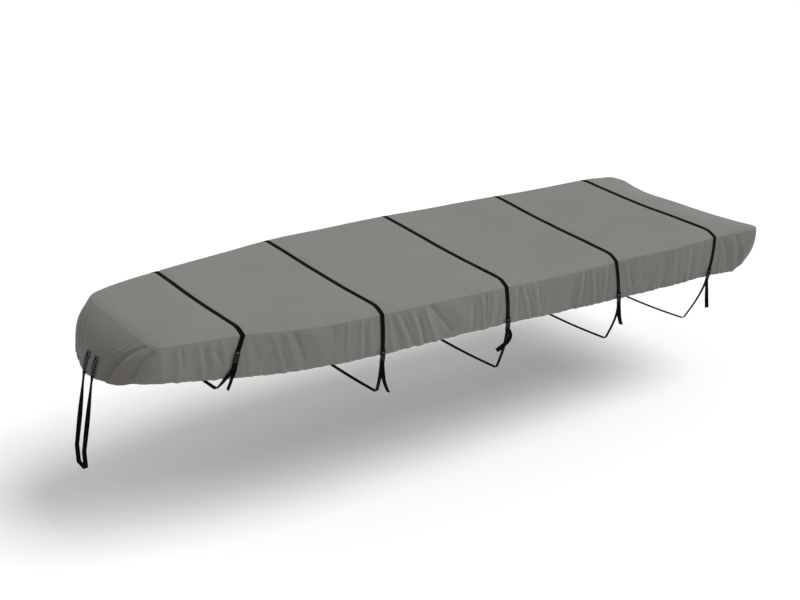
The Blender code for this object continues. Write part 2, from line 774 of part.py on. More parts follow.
def bow_point(x, down):
    """A point off the bow panel at this X, and the direction across the panel."""
    low, high = -BOW_END, BOW_END
    for _ in range(HALVINGS):
        middle = 0.5 * (low + high)
        if plain_skirt(middle, down)[0][0] < x:
            low = middle
        else:
            high = middle
    point, normal = plain_skirt(low, down)
    return point + normal * BOW_LIFT, np.array([1.0, 0.0, 0.0])


def bow_leg(side):
    """One end of the bow strap: sewn to the bow, then straight down to the tongue."""
    seam, hem, _, _ = around(0.0)
    lap = BOW_STRAP_LAP / np.linalg.norm(hem - seam)
    x = BOW_STRAP_SHIFT + side * BOW_STRAP_X
    leg = [bow_point(x, down) for down in np.linspace(1 - lap, BOW_LIP, BOW_LAP_POINTS)]
    lip = leg[-1][0]
    beside = TONGUE_SHIFT + side * TONGUE_HALF
    knee = np.array([beside, TONGUE_Y, TONGUE_TOP - MOUNT_HEIGHT])
    for share in np.linspace(0, 1, BOW_LEG_STEPS + 1)[1:]:
        turn = 0.5 * math.pi * eased(share)
        width = np.array([math.cos(turn), math.sin(turn), 0.0])
        leg.append((lip + (knee - lip) * share, width))
    corner = np.array([beside, TONGUE_Y, TONGUE_BOTTOM - MOUNT_HEIGHT])
    other = corner - np.array([2 * side * TONGUE_HALF, 0.0, 0.0])
    width = np.array([0.0, 1.0, 0.0])
    return leg + [(p, width) for p in fillet(knee, corner, other, TONGUE_RADIUS)]


def bow_strap_route():
    """From the port end sewn to the bow, round under the tongue, to the starboard end."""
    return bow_leg(1.0) + list(reversed(bow_leg(-1.0)))


def make_bow_strap(collection):
    webbing = bpy.data.materials["webbing"]
    route = bow_strap_route()
    patch = [PATCH_WIDTH] * BOW_LAP_POINTS
    spans = patch + [WEBBING] * (len(route) - 2 * BOW_LAP_POINTS) + patch
    ribbon("bow_strap", route, spans, webbing, collection)


def new_collection(name):
    made = bpy.data.collections.new(name)
    bpy.context.scene.collection.children.link(made)
    return made


def main():
    for obj in list(bpy.data.objects):
        bpy.data.objects.remove(obj)
    cover = new_collection("boat_cover")
    helpers = new_collection("helpers")
    make_panels(cover)
    make_straps(cover, helpers)
    make_bow_strap(cover)


main()
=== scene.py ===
"""A fitted cover for an open flat-bottomed boat, sewn from coated polyester, with its webbing.

X points to port, Y to the stern and Z up, in metres. Each operator makes one piece of the cover,
or one group of like pieces, on the fixed frame that is loaded first.
"""

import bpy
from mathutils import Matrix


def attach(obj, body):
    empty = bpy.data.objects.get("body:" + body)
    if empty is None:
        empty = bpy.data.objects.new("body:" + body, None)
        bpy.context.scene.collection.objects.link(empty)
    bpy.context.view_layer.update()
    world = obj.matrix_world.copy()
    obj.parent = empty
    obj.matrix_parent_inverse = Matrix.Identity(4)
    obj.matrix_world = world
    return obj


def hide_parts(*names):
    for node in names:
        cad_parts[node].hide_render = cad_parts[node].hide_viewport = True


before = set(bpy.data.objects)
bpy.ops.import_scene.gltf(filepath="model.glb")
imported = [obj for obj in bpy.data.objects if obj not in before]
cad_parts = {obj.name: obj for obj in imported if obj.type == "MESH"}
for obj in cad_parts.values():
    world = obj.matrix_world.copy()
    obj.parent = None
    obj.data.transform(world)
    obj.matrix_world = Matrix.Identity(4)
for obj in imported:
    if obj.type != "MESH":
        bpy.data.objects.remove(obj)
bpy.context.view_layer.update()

import math
from collections import namedtuple

import bmesh
import bpy
import numpy as np
from mathutils import Matrix, Vector

bl_info = {
    "name": "Boat cover",
    "version": (1, 0, 0),
    "blender": (4, 5, 0),
    "location": "View3D > Sidebar > Boat cover",
    "description": "Builds a fitted boat cover with its seams, gathered hem, straps and buckles",
    "category": "Object",
}

# Heights in the tables are above the ground that the trailer stands on.
MOUNT_HEIGHT = 1.3905

# One row for each place round the port half, from the middle of the bow to the middle of the
# stern. The seam joins top and skirt and the hem is the lower edge. The bulge is how far the
# middle of the skirt stands out of the straight line between them, and the rise is the height
# of the top above the seam.
Place = namedtuple("Place", "name seam_x seam_y seam_z hem_x hem_y hem_z bulge rise")
PLACES = (
    Place("bow_middle", 0.000, -2.475, 1.430, 0.000, -2.712, 1.150, 0.050, 0.034),
    Place("bow_inner", 0.180, -2.475, 1.430, 0.180, -2.684, 1.160, 0.050, 0.034),
    Place("bow_outer", 0.340, -2.473, 1.432, 0.325, -2.640, 1.180, 0.045, 0.034),
    Place("bow_round", 0.450, -2.464, 1.433, 0.405, -2.582, 1.196, 0.038, 0.038),
    Place("bow_corner", 0.500, -2.436, 1.433, 0.446, -2.520, 1.197, 0.028, 0.042),
    Place("fore_quarter", 0.538, -2.344, 1.438, 0.486, -2.413, 1.188, 0.018, 0.037),
    Place("fore", 0.583, -2.155, 1.437, 0.540, -2.185, 1.163, 0.012, 0.034),
    Place("strap_1", 0.623, -1.945, 1.432, 0.585, -1.970, 1.139, 0.010, 0.035),
    Place("fore_side", 0.709, -1.548, 1.403, 0.671, -1.558, 1.112, 0.010, 0.050),
    Place("strap_2", 0.791, -1.020, 1.400, 0.750, -1.020, 1.102, 0.010, 0.037),
    Place("fore_mid", 0.816, -0.528, 1.387, 0.776, -0.528, 1.094, 0.010, 0.032),
    Place("strap_3", 0.832, -0.013, 1.367, 0.792, -0.013, 1.080, 0.010, 0.036),
    Place("mid_side", 0.830, 0.485, 1.337, 0.791, 0.485, 1.043, 0.010, 0.047),
    Place("strap_4", 0.825, 1.016, 1.323, 0.786, 1.016, 1.008, 0.010, 0.038),
    Place("aft_side", 0.819, 1.539, 1.296, 0.779, 1.534, 0.979, 0.010, 0.042),
    Place("strap_5", 0.813, 2.024, 1.287, 0.772, 2.009, 0.960, 0.014, 0.036),
    Place("stern_side", 0.814, 2.318, 1.275, 0.766, 2.213, 0.939, 0.030, 0.032),
    Place("stern_corner", 0.804, 2.480, 1.260, 0.745, 2.332, 0.925, 0.048, 0.028),
    Place("stern_round", 0.740, 2.532, 1.248, 0.668, 2.362, 0.925, 0.048, 0.028),
    Place("stern_outer", 0.580, 2.530, 1.238, 0.520, 2.356, 0.935, 0.036, 0.028),
    Place("stern_inner", 0.300, 2.522, 1.226, 0.300, 2.358, 0.950, 0.030, 0.028),
    Place("stern_middle", 0.000, 2.518, 1.222, 0.000, 2.358, 0.955, 0.026, 0.028),
)
BOW_CORNER = "bow_corner"
STERN_CORNER = "stern_corner"
SKIRT_DROP = 0.30  # the usual distance from seam to hem

# The top rises from its seam over each run, and is flat from shoulder to shoulder with a slight
# hollow along the middle. The edges at the bow and stern shape it as far in as the end reach.
SHOULDER_RUN = 0.100
BOW_RUN = 0.380
STERN_RUN = 0.380
END_REACH = 0.480
TOP_SAG = 0.010
TOP_PRESS = 0.004  # how deep each strap presses into the top
TOP_PRESS_WIDTH = 0.030

# The edge at the stern sags on its starboard side.
DIP_X = -0.470
DIP_Y = 2.500
DIP_DEPTH = 0.022
DIP_WIDTH = 0.260
DIP_LENGTH = 0.280

# A crease in a skirt runs from one place to another. A place is a distance along the skirt, which
# is Y on the sides and X on the bow, and a share of the way from seam to hem. A ridge has a
# height above zero and a trough one below, and the width is half of what is seen of it.
Crease = namedtuple("Crease", "start start_down end end_down width height")
SIDE_CREASES = (
    Crease(-2.435, 0.08, -2.430, 0.95, 0.018, 0.006),
    Crease(-2.385, 0.20, -2.370, 0.90, 0.022, -0.003),
    Crease(-2.335, 0.00, -2.325, 1.00, 0.016, 0.006),
    Crease(-2.308, 0.15, -2.296, 0.60, 0.012, -0.006),
    Crease(-2.250, 0.25, -2.215, 0.85, 0.018, -0.004),
    Crease(-2.200, 0.08, -2.185, 1.00, 0.015, 0.007),
    Crease(-2.172, 0.20, -2.145, 0.80, 0.014, -0.007),
    Crease(-2.140, 0.00, -2.110, 0.70, 0.016, 0.005),
    Crease(-2.095, 0.30, -2.060, 0.65, 0.011, -0.007),
    Crease(-2.065, 0.00, -2.030, 0.75, 0.014, 0.005),
    Crease(-1.925, 0.15, -1.880, 1.00, 0.012, 0.004),
    Crease(-1.880, 0.15, -1.850, 0.60, 0.024, -0.005),
    Crease(-1.745, 0.10, -1.675, 1.00, 0.020, 0.006),
    Crease(-1.695, 0.45, -1.650, 0.95, 0.013, -0.006),
    Crease(-1.665, 0.05, -1.580, 1.00, 0.022, 0.007),
    Crease(-1.610, 0.08, -1.550, 0.70, 0.014, -0.010),
    Crease(-1.500, 0.10, -1.440, 0.60, 0.065, 0.010),
    Crease(-1.375, 0.05, -1.350, 0.35, 0.028, -0.006),
    Crease(-1.290, 0.05, -1.285, 0.75, 0.012, -0.004),
    Crease(-1.262, 0.05, -1.262, 0.80, 0.012, 0.003),
    Crease(-1.168, 0.00, -1.160, 1.00, 0.014, 0.006),
    Crease(-1.140, 0.25, -1.125, 0.95, 0.010, -0.006),
    Crease(-1.112, 0.00, -1.090, 0.85, 0.013, 0.005),
    Crease(-0.985, 0.05, -0.925, 1.00, 0.013, 0.005),
    Crease(-0.950, 0.15, -0.870, 0.95, 0.012, -0.004),
    Crease(-0.915, 0.10, -0.805, 1.00, 0.018, 0.007),
    Crease(-0.865, 0.25, -0.760, 1.00, 0.013, -0.006),
    Crease(-0.815, 0.08, -0.705, 1.00, 0.019, 0.008),
    Crease(-0.755, 0.25, -0.675, 0.95, 0.013, -0.009),
    Crease(-0.715, 0.03, -0.585, 1.00, 0.022, 0.009),
    Crease(-0.660, 0.06, -0.480, 0.75, 0.016, -0.011),
    Crease(-0.500, 0.10, -0.400, 0.55, 0.060, 0.010),
    Crease(-0.350, 0.30, -0.330, 0.95, 0.016, 0.004),
    Crease(-0.312, 0.20, -0.290, 0.85, 0.014, -0.004),
    Crease(-0.245, 0.15, -0.195, 1.00, 0.015, 0.005),
    Crease(-0.210, 0.03, -0.200, 0.70, 0.010, -0.007),
    Crease(-0.152, 0.02, -0.140, 0.90, 0.013, 0.005),
    Crease(-0.100, 0.15, -0.090, 0.95, 0.012, -0.004),
    Crease(0.040, 0.15, 0.068, 1.00, 0.011, 0.005),
    Crease(0.066, 0.15, 0.095, 0.90, 0.011, -0.005),
    Crease(0.092, 0.03, 0.200, 1.00, 0.013, 0.008),
    Crease(0.128, 0.15, 0.232, 0.95, 0.012, -0.007),
    Crease(0.205, 0.12, 0.290, 0.95, 0.019, 0.006),
    Crease(0.255, 0.20, 0.272, 0.60, 0.012, -0.005),
    Crease(0.335, 0.50, 0.345, 1.00, 0.018, 0.005),
    Crease(0.450, 0.10, 0.480, 0.80, 0.050, 0.006),
    Crease(0.572, 0.15, 0.588, 0.90, 0.019, -0.005),
    Crease(0.640, 0.03, 0.650, 1.00, 0.013, 0.007),
    Crease(0.682, 0.05, 0.690, 0.85, 0.010, -0.007),
    Crease(0.742, 0.03, 0.805, 1.00, 0.015, 0.007),
    Crease(0.790, 0.20, 0.835, 0.95, 0.011, -0.006),
    Crease(0.872, 0.03, 0.900, 1.00, 0.013, 0.006),
    Crease(0.910, 0.15, 0.925, 0.95, 0.010, -0.004),
    Crease(1.075, 0.12, 1.170, 1.00, 0.013, 0.006),
    Crease(1.118, 0.25, 1.205, 0.95, 0.012, -0.006),
    Crease(1.225, 0.02, 1.260, 0.40, 0.020, -0.005),
    Crease(1.265, 0.25, 1.175, 0.85, 0.015, 0.008),
    Crease(1.262, 0.80, 1.290, 0.95, 0.020, 0.006),
    Crease(1.393, 0.03, 1.420, 0.90, 0.027, 0.005),
    Crease(1.478, 0.03, 1.500, 0.90, 0.023, -0.006),
    Crease(1.575, 0.03, 1.600, 1.00, 0.015, 0.006),
    Crease(1.635, 0.15, 1.660, 0.90, 0.013, -0.005),
    Crease(1.730, 0.03, 1.755, 1.00, 0.015, 0.006),
    Crease(1.787, 0.15, 1.800, 0.95, 0.011, -0.006),
    Crease(1.830, 0.03, 1.855, 1.00, 0.013, 0.004),
    Crease(1.895, 0.05, 1.920, 0.90, 0.017, -0.005),
    Crease(2.070, 0.15, 2.115, 1.00, 0.013, 0.006),
    Crease(2.108, 0.15, 2.215, 0.95, 0.015, -0.008),
    Crease(2.168, 0.03, 2.285, 0.95, 0.017, 0.008),
    Crease(2.238, 0.10, 2.320, 0.90, 0.014, -0.008),
    Crease(2.285, 0.05, 2.370, 0.90, 0.012, 0.006),
    Crease(2.370, 0.10, 2.400, 0.70, 0.035, -0.006),
)
STARBOARD_SHIFT = 0.045

# The side creases stand forward of their rows by this much at each Y.
Shift = namedtuple("Shift", "y forward")
SIDE_SHIFTS = (
    Shift(-2.40, 0.000),
    Shift(-2.34, 0.004),
    Shift(-2.15, 0.005),
    Shift(-1.94, 0.005),
    Shift(-1.54, 0.008),
    Shift(-1.01, 0.010),
    Shift(-0.52, 0.008),
    Shift(0.00, 0.013),
    Shift(0.50, 0.015),
    Shift(1.03, 0.014),
    Shift(1.55, 0.011),
    Shift(2.03, 0.006),
    Shift(2.32, 0.002),
    Shift(2.48, 0.000),
)

# The side creases are softer towards the stern: past each Y they keep this share of their
# height, and past the first of them they are lower again and wider.
Softening = namedtuple("Softening", "past height")
SOFTENINGS = (Softening(0.0, 0.72), Softening(1.0, 0.62), Softening(2.0, 0.60))
AFT_HEIGHT = 0.88
AFT_WIDTH = 1.2

BOW_CREASES = (
    Crease(-0.340, 0.18, -0.150, 0.65, 0.012, -0.005),
    Crease(-0.310, 0.12, -0.110, 0.60, 0.013, 0.004),
    Crease(-0.335, 0.42, -0.170, 0.80, 0.012, -0.005),
    Crease(-0.220, 0.88, -0.170, 0.97, 0.024, -0.008),
    Crease(0.300, 0.07, 0.180, 0.46, 0.008, -0.005),
    Crease(0.345, 0.08, 0.235, 0.53, 0.008, -0.006),
    Crease(0.375, 0.06, 0.190, 0.80, 0.018, 0.005),
    Crease(0.410, 0.08, 0.235, 0.86, 0.022, -0.016),
    Crease(0.275, 0.58, 0.225, 0.88, 0.040, -0.014),
    Crease(0.440, 0.18, 0.360, 0.78, 0.016, 0.007),
    Crease(0.488, 0.14, 0.415, 0.80, 0.012, -0.014),
    Crease(0.460, 0.60, 0.400, 0.94, 0.034, -0.009),
)
STERN_CREASES = (
    Crease(-0.620, 0.10, -0.560, 0.90, 0.020, 0.007),
    Crease(-0.500, 0.15, -0.470, 0.95, 0.018, -0.006),
    Crease(-0.380, 0.05, -0.370, 1.00, 0.016, 0.006),
    Crease(-0.210, 0.20, -0.205, 0.95, 0.022, -0.005),
    Crease(-0.060, 0.05, -0.070, 0.95, 0.018, 0.006),
    Crease(0.100, 0.10, 0.090, 0.90, 0.024, -0.005),
    Crease(0.260, 0.05, 0.240, 1.00, 0.016, 0.007),
    Crease(0.350, 0.20, 0.330, 0.90, 0.014, -0.006),
    Crease(0.520, 0.10, 0.470, 0.95, 0.018, 0.007),
    Crease(0.640, 0.15, 0.580, 0.90, 0.016, -0.007),
)
CREASE_FADE = 0.10  # the seam holds the cloth flat above this share of the way down
STRAP_PRESS = 0.060  # creases are pressed flat within this distance of a strap

# The stitches that close each strap's loop, and the box sewn at the bow strap's ends.
TACK_ROWS = 4
TACK_STEP = 0.0034
TACK_START = 0.010
TACK_INSET = 0.003
PATCH_INSET = 0.006

# Where along the cover the painted shade towards the stern and down the bow starts, and where it is
# darkest.
SHADE_STERN_START = -0.1
SHADE_STERN_END = 0.8
SHADE_BOW_START = -2.40
SHADE_BOW_END = -2.62

# The elastic in the hem gathers the cloth into puckers.
PUCKER_STEP = 0.040
PUCKER_JITTER = 0.014
PUCKER_WIDTH = 0.011
PUCKER_HEIGHT = 0.0050
PUCKER_REACH = 0.20  # they fade out this share of the way up from the hem
PUCKER_LEAN = 0.030
PUCKER_PRESS = 0.028
HEM_WAVE = 0.0035

# The webbing, one row for each strap. The far and near crossings are its Y at the starboard
# and port seams. Under the boat it runs straight across between the two lower edges of the
# hull. The drop puts its buckle below the port seam, measured down the skirt. The tail is the
# free end: its length, how far aft its tip hangs, how far aft it bows, and its twist in degrees.
Strap = namedtuple(
    "Strap", "number far_y near_y hem_y drop hull_x hull_y hull_z tail lean bow twist"
)
STRAP_TILTS = (0.00, 0.05, 0.09, 0.13, 0.18)  # how steeply each strap's aft edge rises on the top
TILT_RUN = 0.12  # the tilt grows over this share of the way in from each side
STRAPS = (
    Strap(1, -1.950, -1.940, -2.001, 0.158, 0.450, -2.052, 1.030, 0.145, -0.060, -0.018, 75),
    Strap(2, -1.008, -1.035, -1.010, 0.328, 0.585, -0.945, 0.745, 0.225, 0.047, -0.010, 55),
    Strap(3, 0.048, -0.054, -0.004, 0.300, 0.615, 0.060, 0.655, 0.135, -0.095, 0.028, 25),
    Strap(4, 1.138, 0.961, 1.046, 0.321, 0.615, 1.115, 0.605, 0.175, 0.035, -0.012, 55),
    Strap(5, 2.075, 1.996, 2.010, 0.328, 0.615, 1.955, 0.560, 0.235, 0.030, -0.008, 25),
)
BUCKLE_LIFT = 0.010
CHINE_RADIUS = 0.020
SEAM_STEP = 0.014
TAIL_STEPS = 14
TAIL_OUT = 0.012
TURN_STEPS = 7

# The side-release buckle, measured from where its halves meet: up the strap, and outwards.
SOCKET_ROD = 0.0355
PLUG_ROD = -0.0240
PLUG_END_ROD = -0.0345
TURN_RADIUS = 0.0034
SEWN_LAP = 0.035
LEAD = 0.010  # the straight run of strap just below the buckle

# The bow strap: both ends are sewn to the bow cloth, and its loop passes under the tongue.
BOW_STRAP_SHIFT = 0.039
BOW_STRAP_X = 0.0535
BOW_STRAP_LAP = 0.125
BOW_LAP_POINTS = 8
TONGUE_Y = -2.800
TONGUE_TOP = 0.650
TONGUE_BOTTOM = 0.530
TONGUE_HALF = 0.058
TONGUE_SHIFT = 0.015
BOW_LIFT = 0.0065
TONGUE_RADIUS = 0.012

WEAVE_MAP = "weave_map"

# How finely the skirts are divided along the seam.
SIDE_COLUMNS = 860
BOW_COLUMNS = 210
STERN_COLUMNS = 300
CORNER_BLEND = 0.06  # side and end creases change over in this distance at a corner

# Where the two rows of the seam's stitches run below it, and the hem's row above its edge.
SEAM_STITCH_DROPS = (0.0032, 0.0092)
HEM_STITCH_RISE = 0.026

# The light comes from the stern's port quarter, high up and soft.
SUN_TOWARD = (0.40, 0.42, 0.81)
SUN_ANGLE = 40
SENSOR_WIDTH = 36.0
VIEW_REACH = 200.0


def curve_through(knots, values):
    """A smooth function through rows of values, each at its knot."""
    knots = np.array(knots, float)
    values = np.array(values, float)
    slopes = np.gradient(values, knots, axis=0)

    def at(place):
        row = np.clip(np.searchsorted(knots, place) - 1, 0, len(knots) - 2)
        span = (knots[row + 1] - knots[row])[:, None]
        share = (place - knots[row])[:, None] / span
        cube, square = share**3, share**2
        return (
            (2 * cube - 3 * square + 1) * values[row]
            + (cube - 2 * square + share) * span * slopes[row]
            + (3 * square - 2 * cube) * values[row + 1]
            + (cube - square) * span * slopes[row + 1]
        )

    return at


def outline():
    """The seam and hem of the port half against the distance along the seam from the bow."""
    seam = np.array([(p.seam_x, p.seam_y) for p in PLACES])
    steps = np.linalg.norm(np.diff(seam, axis=0), axis=1)
    along = np.concatenate([[0.0], np.cumsum(steps)])
    rows = np.array([p[1:] for p in PLACES])
    rows[:, (2, 5)] -= MOUNT_HEIGHT
    mirror = np.array([-1, 1, 1, -1, 1, 1, 1, 1])
    before = rows[1] * mirror
    after = rows[-2] * mirror
    knots = np.concatenate([[-along[1]], along, [2 * along[-1] - along[-2]]])
    table = np.vstack([before, rows, after])
    names = {p.name: float(a) for p, a in zip(PLACES, along)}
    return curve_through(knots, table), names, float(along[-1])


EDGE, ALONG, HALF_LENGTH = outline()
BOW_END = ALONG[BOW_CORNER]
STERN_START = ALONG[STERN_CORNER]
SIDE_LENGTH = STERN_START - BOW_END
STERN_LENGTH = 2 * (HALF_LENGTH - STERN_START)


def eased(value):
    """0 below zero and 1 above one, with a soft start and end."""
    share = np.clip(value, 0.0, 1.0)
    return share * share * (3 - 2 * share)


def unit(vectors):
    return vectors / np.linalg.norm(vectors, axis=-1, keepdims=True)


def around(distance):
    """Seam, hem, bulge and rise at distances round the cover: below zero it is starboard."""
    turn = 2 * HALF_LENGTH
    distance = (np.asarray(distance, float) + HALF_LENGTH) % turn - HALF_LENGTH
    row = EDGE(np.abs(distance))
    mirror = np.ones((len(distance), 3))
    mirror[distance < 0, 0] = -1.0
    seam = row[:, :3] * mirror
    hem = row[:, 3:6] * mirror
    off_x = (seam[:, 0] - DIP_X) / DIP_WIDTH
    off_y = (seam[:, 1] - DIP_Y) / DIP_LENGTH
    seam[:, 2] -= DIP_DEPTH * np.exp(-(off_x**2) - off_y**2)
    return seam, hem, row[:, 6], row[:, 7]


def plain_skirt(distance, down):
    """Points on the skirt without its creases, and the way it faces there."""
    seam, hem, bulge, _ = around(distance)
    chord = hem - seam
    seam_next, hem_next, _, _ = around(distance + 0.01)
    seam_last, hem_last, _, _ = around(distance - 0.01)
    share = down[:, None]
    tangent = (seam_next - seam_last) * (1 - share) + (hem_next - hem_last) * share
    normal = unit(np.cross(chord, tangent))
    inside = np.stack([0 * down, np.clip(seam[:, 1], -2.2, 2.2)], axis=1)
    outward = np.sum(normal[:, :2] * (seam[:, :2] - inside), axis=1)
    normal[outward < 0] *= -1
    point = seam + chord * share + normal * (bulge * 4 * down * (1 - down))[:, None]
    return point, normal


def strap_distance(side, y, down):
    """How far each place on the side skirts is from the nearest strap."""
    nearest = np.full(len(y), 9.0)
    for strap in STRAPS:
        near = strap.near_y + (strap.hem_y - strap.near_y) * down
        strap_y = np.where(side < 0, strap.far_y, near)
        nearest = np.minimum(nearest, np.abs(y - strap_y))
    return nearest


def unevenness(x, y, seed):
    """Smooth noise from -1 to 1 over a plane whose cells are one unit wide."""
    cells = 256
    heights = np.random.default_rng(seed).uniform(-1, 1, (cells, cells))
    left, low = np.floor(x).astype(int), np.floor(y).astype(int)
    over, up = eased(x - left), eased(y - low)
    corner = [
        [heights[(left + i) % cells, (low + j) % cells] for j in (0, 1)] for i in (0, 1)
    ]
    bottom = corner[0][0] * (1 - over) + corner[1][0] * over
    top = corner[0][1] * (1 - over) + corner[1][1] * over
    return bottom * (1 - up) + top * up


def settled(crease):
    """A side crease moved forward and softened, to the millimetre and its tenth in height."""
    ys, forward = zip(*SIDE_SHIFTS)
    start = round(crease.start - float(np.interp(crease.start, ys, forward)), 3)
    end = round(crease.end - float(np.interp(crease.end, ys, forward)), 3)
    height, width = crease.height, crease.width
    shares = [softening.height for softening in SOFTENINGS if start > softening.past]
    if shares:
        height = round(height * shares[-1], 4) * AFT_HEIGHT
        width *= AFT_WIDTH
    return crease._replace(start=start, end=end, width=round(width, 3), height=round(height, 4))


def crease_relief(creases, place, down):
    """How far the creases stand out at these places along the skirt and shares down it."""
    height = np.zeros(len(place))
    depth = down * SKIRT_DROP
    for crease in creases:
        low = crease.start_down * SKIRT_DROP
        run_along = crease.end - crease.start
        run_down = (crease.end_down - crease.start_down) * SKIRT_DROP
        share = (place - crease.start) * run_along + (depth - low) * run_down
        share = np.clip(share / (run_along**2 + run_down**2), 0, 1)
        off = np.hypot(
            place - crease.start - share * run_along, depth - low - share * run_down
        )
        height += crease.height * np.exp(-((off / crease.width) ** 2))
    return height


def pucker_relief(distance, down):
    """The small puckers that the elastic gathers along the hem."""
    random = np.random.default_rng(7)
    centres = np.arange(-HALF_LENGTH, HALF_LENGTH, PUCKER_STEP)
    centres += random.uniform(-1, 1, len(centres)) * PUCKER_JITTER
    heights = PUCKER_HEIGHT * random.uniform(0.35, 1.2, len(centres))
    leans = PUCKER_LEAN * random.uniform(-0.5, 1.0, len(centres))
    widths = PUCKER_WIDTH * random.uniform(0.7, 1.3, len(centres))
    reaches = PUCKER_REACH * random.uniform(0.5, 1.25, len(centres))
    total = np.zeros(len(distance))
    low = down > 1 - 1.3 * PUCKER_REACH
    for centre, height, lean, width, reach in zip(centres, heights, leans, widths, reaches):
        near = low & (np.abs(distance - centre) < 4 * PUCKER_STEP)
        up = (1 - down[near]) / reach
        off = (distance[near] - centre + lean * up) / width
        total[near] += height * np.exp(-off * off) * eased(1 - up)
    return total - 0.35 * PUCKER_HEIGHT * eased((down - 1) / PUCKER_REACH + 1)


def skirt_relief(distance, place, down):
    """All that stands out of the plain skirt, round the whole cover."""
    from_centre = np.abs(distance)
    side = np.sign(distance)
    to_side = eased((from_centre - BOW_END) / CORNER_BLEND + 0.5)
    to_stern = eased((from_centre - STERN_START) / CORNER_BLEND + 0.5)
    shift = np.where(side < 0, STARBOARD_SHIFT, 0.0)
    wander = 0.006 * unevenness(distance / 0.09, down * 2.5, 3)
    along = place[:, 1] - shift + wander
    across = place[:, 0] + wander
    side_creases = [settled(crease) for crease in SIDE_CREASES]
    height = crease_relief(side_creases, along, down) * to_side * (1 - to_stern)
    height += crease_relief(BOW_CREASES, across, down) * (1 - to_side)
    height += crease_relief(STERN_CREASES, across, down) * to_stern
    ripples = unevenness(distance / 0.032 + down * 1.5, down * 2.2, 11)
    swells = unevenness(distance / 0.085, down * 1.7, 12)
    fine = unevenness(distance / 0.014 + down * 2, down * 7, 13)
    height += 0.0012 * ripples + 0.0018 * swells + 0.0003 * fine
    height *= eased(down / CREASE_FADE)
    clear = strap_distance(side, place[:, 1], down)
    height *= eased(clear / STRAP_PRESS)
    puckers = pucker_relief(distance, down) * eased(clear / PUCKER_PRESS)
    return height + puckers


def skirt_cloth(distance, down):
    """Points on the outer face of the skirt, the way it faces, and the way down it."""
    plain, normal = plain_skirt(distance, down)
    seam, hem, _, _ = around(distance)
    downward = unit(hem - seam)
    height = skirt_relief(distance, plain, down)
    wave = HEM_WAVE * unevenness(distance / 0.04, 0 * down, 21) * eased((down - 0.8) / 0.2)
    return plain + normal * height[:, None] + downward * wave[:, None], normal, downward


def rounded(distance, run):
    share = np.clip(distance / run, 0.0, 1.0)
    return 1 - (1 - share) ** 2


def plain_top(across, along):
    """Points on the top: across runs from port to starboard and along from bow to stern."""
    port, _, _, rise = around(BOW_END + SIDE_LENGTH * along)
    starboard = around(-BOW_END - SIDE_LENGTH * along)[0]
    bow = around(BOW_END * (1 - 2 * across))[0]
    stern = around(STERN_START + STERN_LENGTH * across)[0]
    corners = around(np.array([BOW_END, -BOW_END, STERN_START, -STERN_START]))[0]
    u, v = across[:, None], along[:, None]
    fore = corners[0] * (1 - u) + corners[1] * u
    aft = corners[2] * (1 - u) + corners[3] * u
    point = port * (1 - u) + starboard * u
    point += (bow - fore) * eased(1 - SIDE_LENGTH * v / END_REACH)
    point += (stern - aft) * eased(1 - SIDE_LENGTH * (1 - v) / END_REACH)
    to_side = np.minimum(across, 1 - across) * np.linalg.norm(port - starboard, axis=1)
    to_end = rounded(SIDE_LENGTH * along, BOW_RUN)
    to_end = to_end * rounded(SIDE_LENGTH * (1 - along), STERN_RUN)
    point[:, 2] += rise * rounded(to_side, SHOULDER_RUN) * to_end
    point[:, 2] -= TOP_SAG * np.sin(math.pi * across) ** 2 * to_end
    return point, rounded(to_side, 0.5 * SHOULDER_RUN) * to_end


def top_cloth(across, along):
    """Points on the outer face of the top, pressed down a little under each strap."""
    point, inner = plain_top(across, along)
    height = 0.0030 * unevenness(point[:, 0] / 0.35, point[:, 1] / 0.42, 31)
    height += 0.0010 * unevenness(point[:, 0] / 0.11, point[:, 1] / 0.16, 32)
    for strap in STRAPS:
        line = strap.near_y + (strap.far_y - strap.near_y) * across
        off = (point[:, 1] - line) / TOP_PRESS_WIDTH
        height -= TOP_PRESS * np.exp(-off * off)
    point[:, 2] += height * inner
    return point


def border_distance(across, along):
    """The distance round the cover of the place on the top's border nearest to these shares."""
    edges = np.stack([across, 1 - across, along, 1 - along])
    side = np.argmin(edges, axis=0)
    rounds = (
        BOW_END + SIDE_LENGTH * along,
        -BOW_END - SIDE_LENGTH * along,
        BOW_END * (1 - 2 * across),
        STERN_START + STERN_LENGTH * across,
    )
    return np.choose(side, rounds)


def mesh_from(bm, name):
    """A mesh made from a bmesh, which is freed."""
    mesh = bpy.data.meshes.new(name)
    bm.to_mesh(mesh)
    bm.free()
    return mesh


def mapped_mesh(name, columns, rows, place):
    """A grid of faces whose points go where place sends the shares of its two sides.

    The place function returns the points, and their flat places in metres for the weave.
    """
    bm = bmesh.new()
    bmesh.ops.create_grid(bm, x_segments=columns, y_segments=rows, size=0.5)
    mesh = mesh_from(bm, name)
    count = len(mesh.vertices)
    spots = np.empty(count * 3, np.float32)
    mesh.vertices.foreach_get("co", spots)
    column = np.rint((spots.reshape(count, 3)[:, 0] + 0.5) * columns).astype(int)
    row = np.rint((spots.reshape(count, 3)[:, 1] + 0.5) * rows).astype(int)
    points, flat = place(column, row)
    mesh.vertices.foreach_set("co", points.astype(np.float32).ravel())
    corners = np.empty(len(mesh.loops), np.int32)
    mesh.loops.foreach_get("vertex_index", corners)
    layer = mesh.uv_layers.new(name=WEAVE_MAP)
    layer.uv.foreach_set("vector", flat[corners].astype(np.float32).ravel())
    mesh.update()
    return mesh


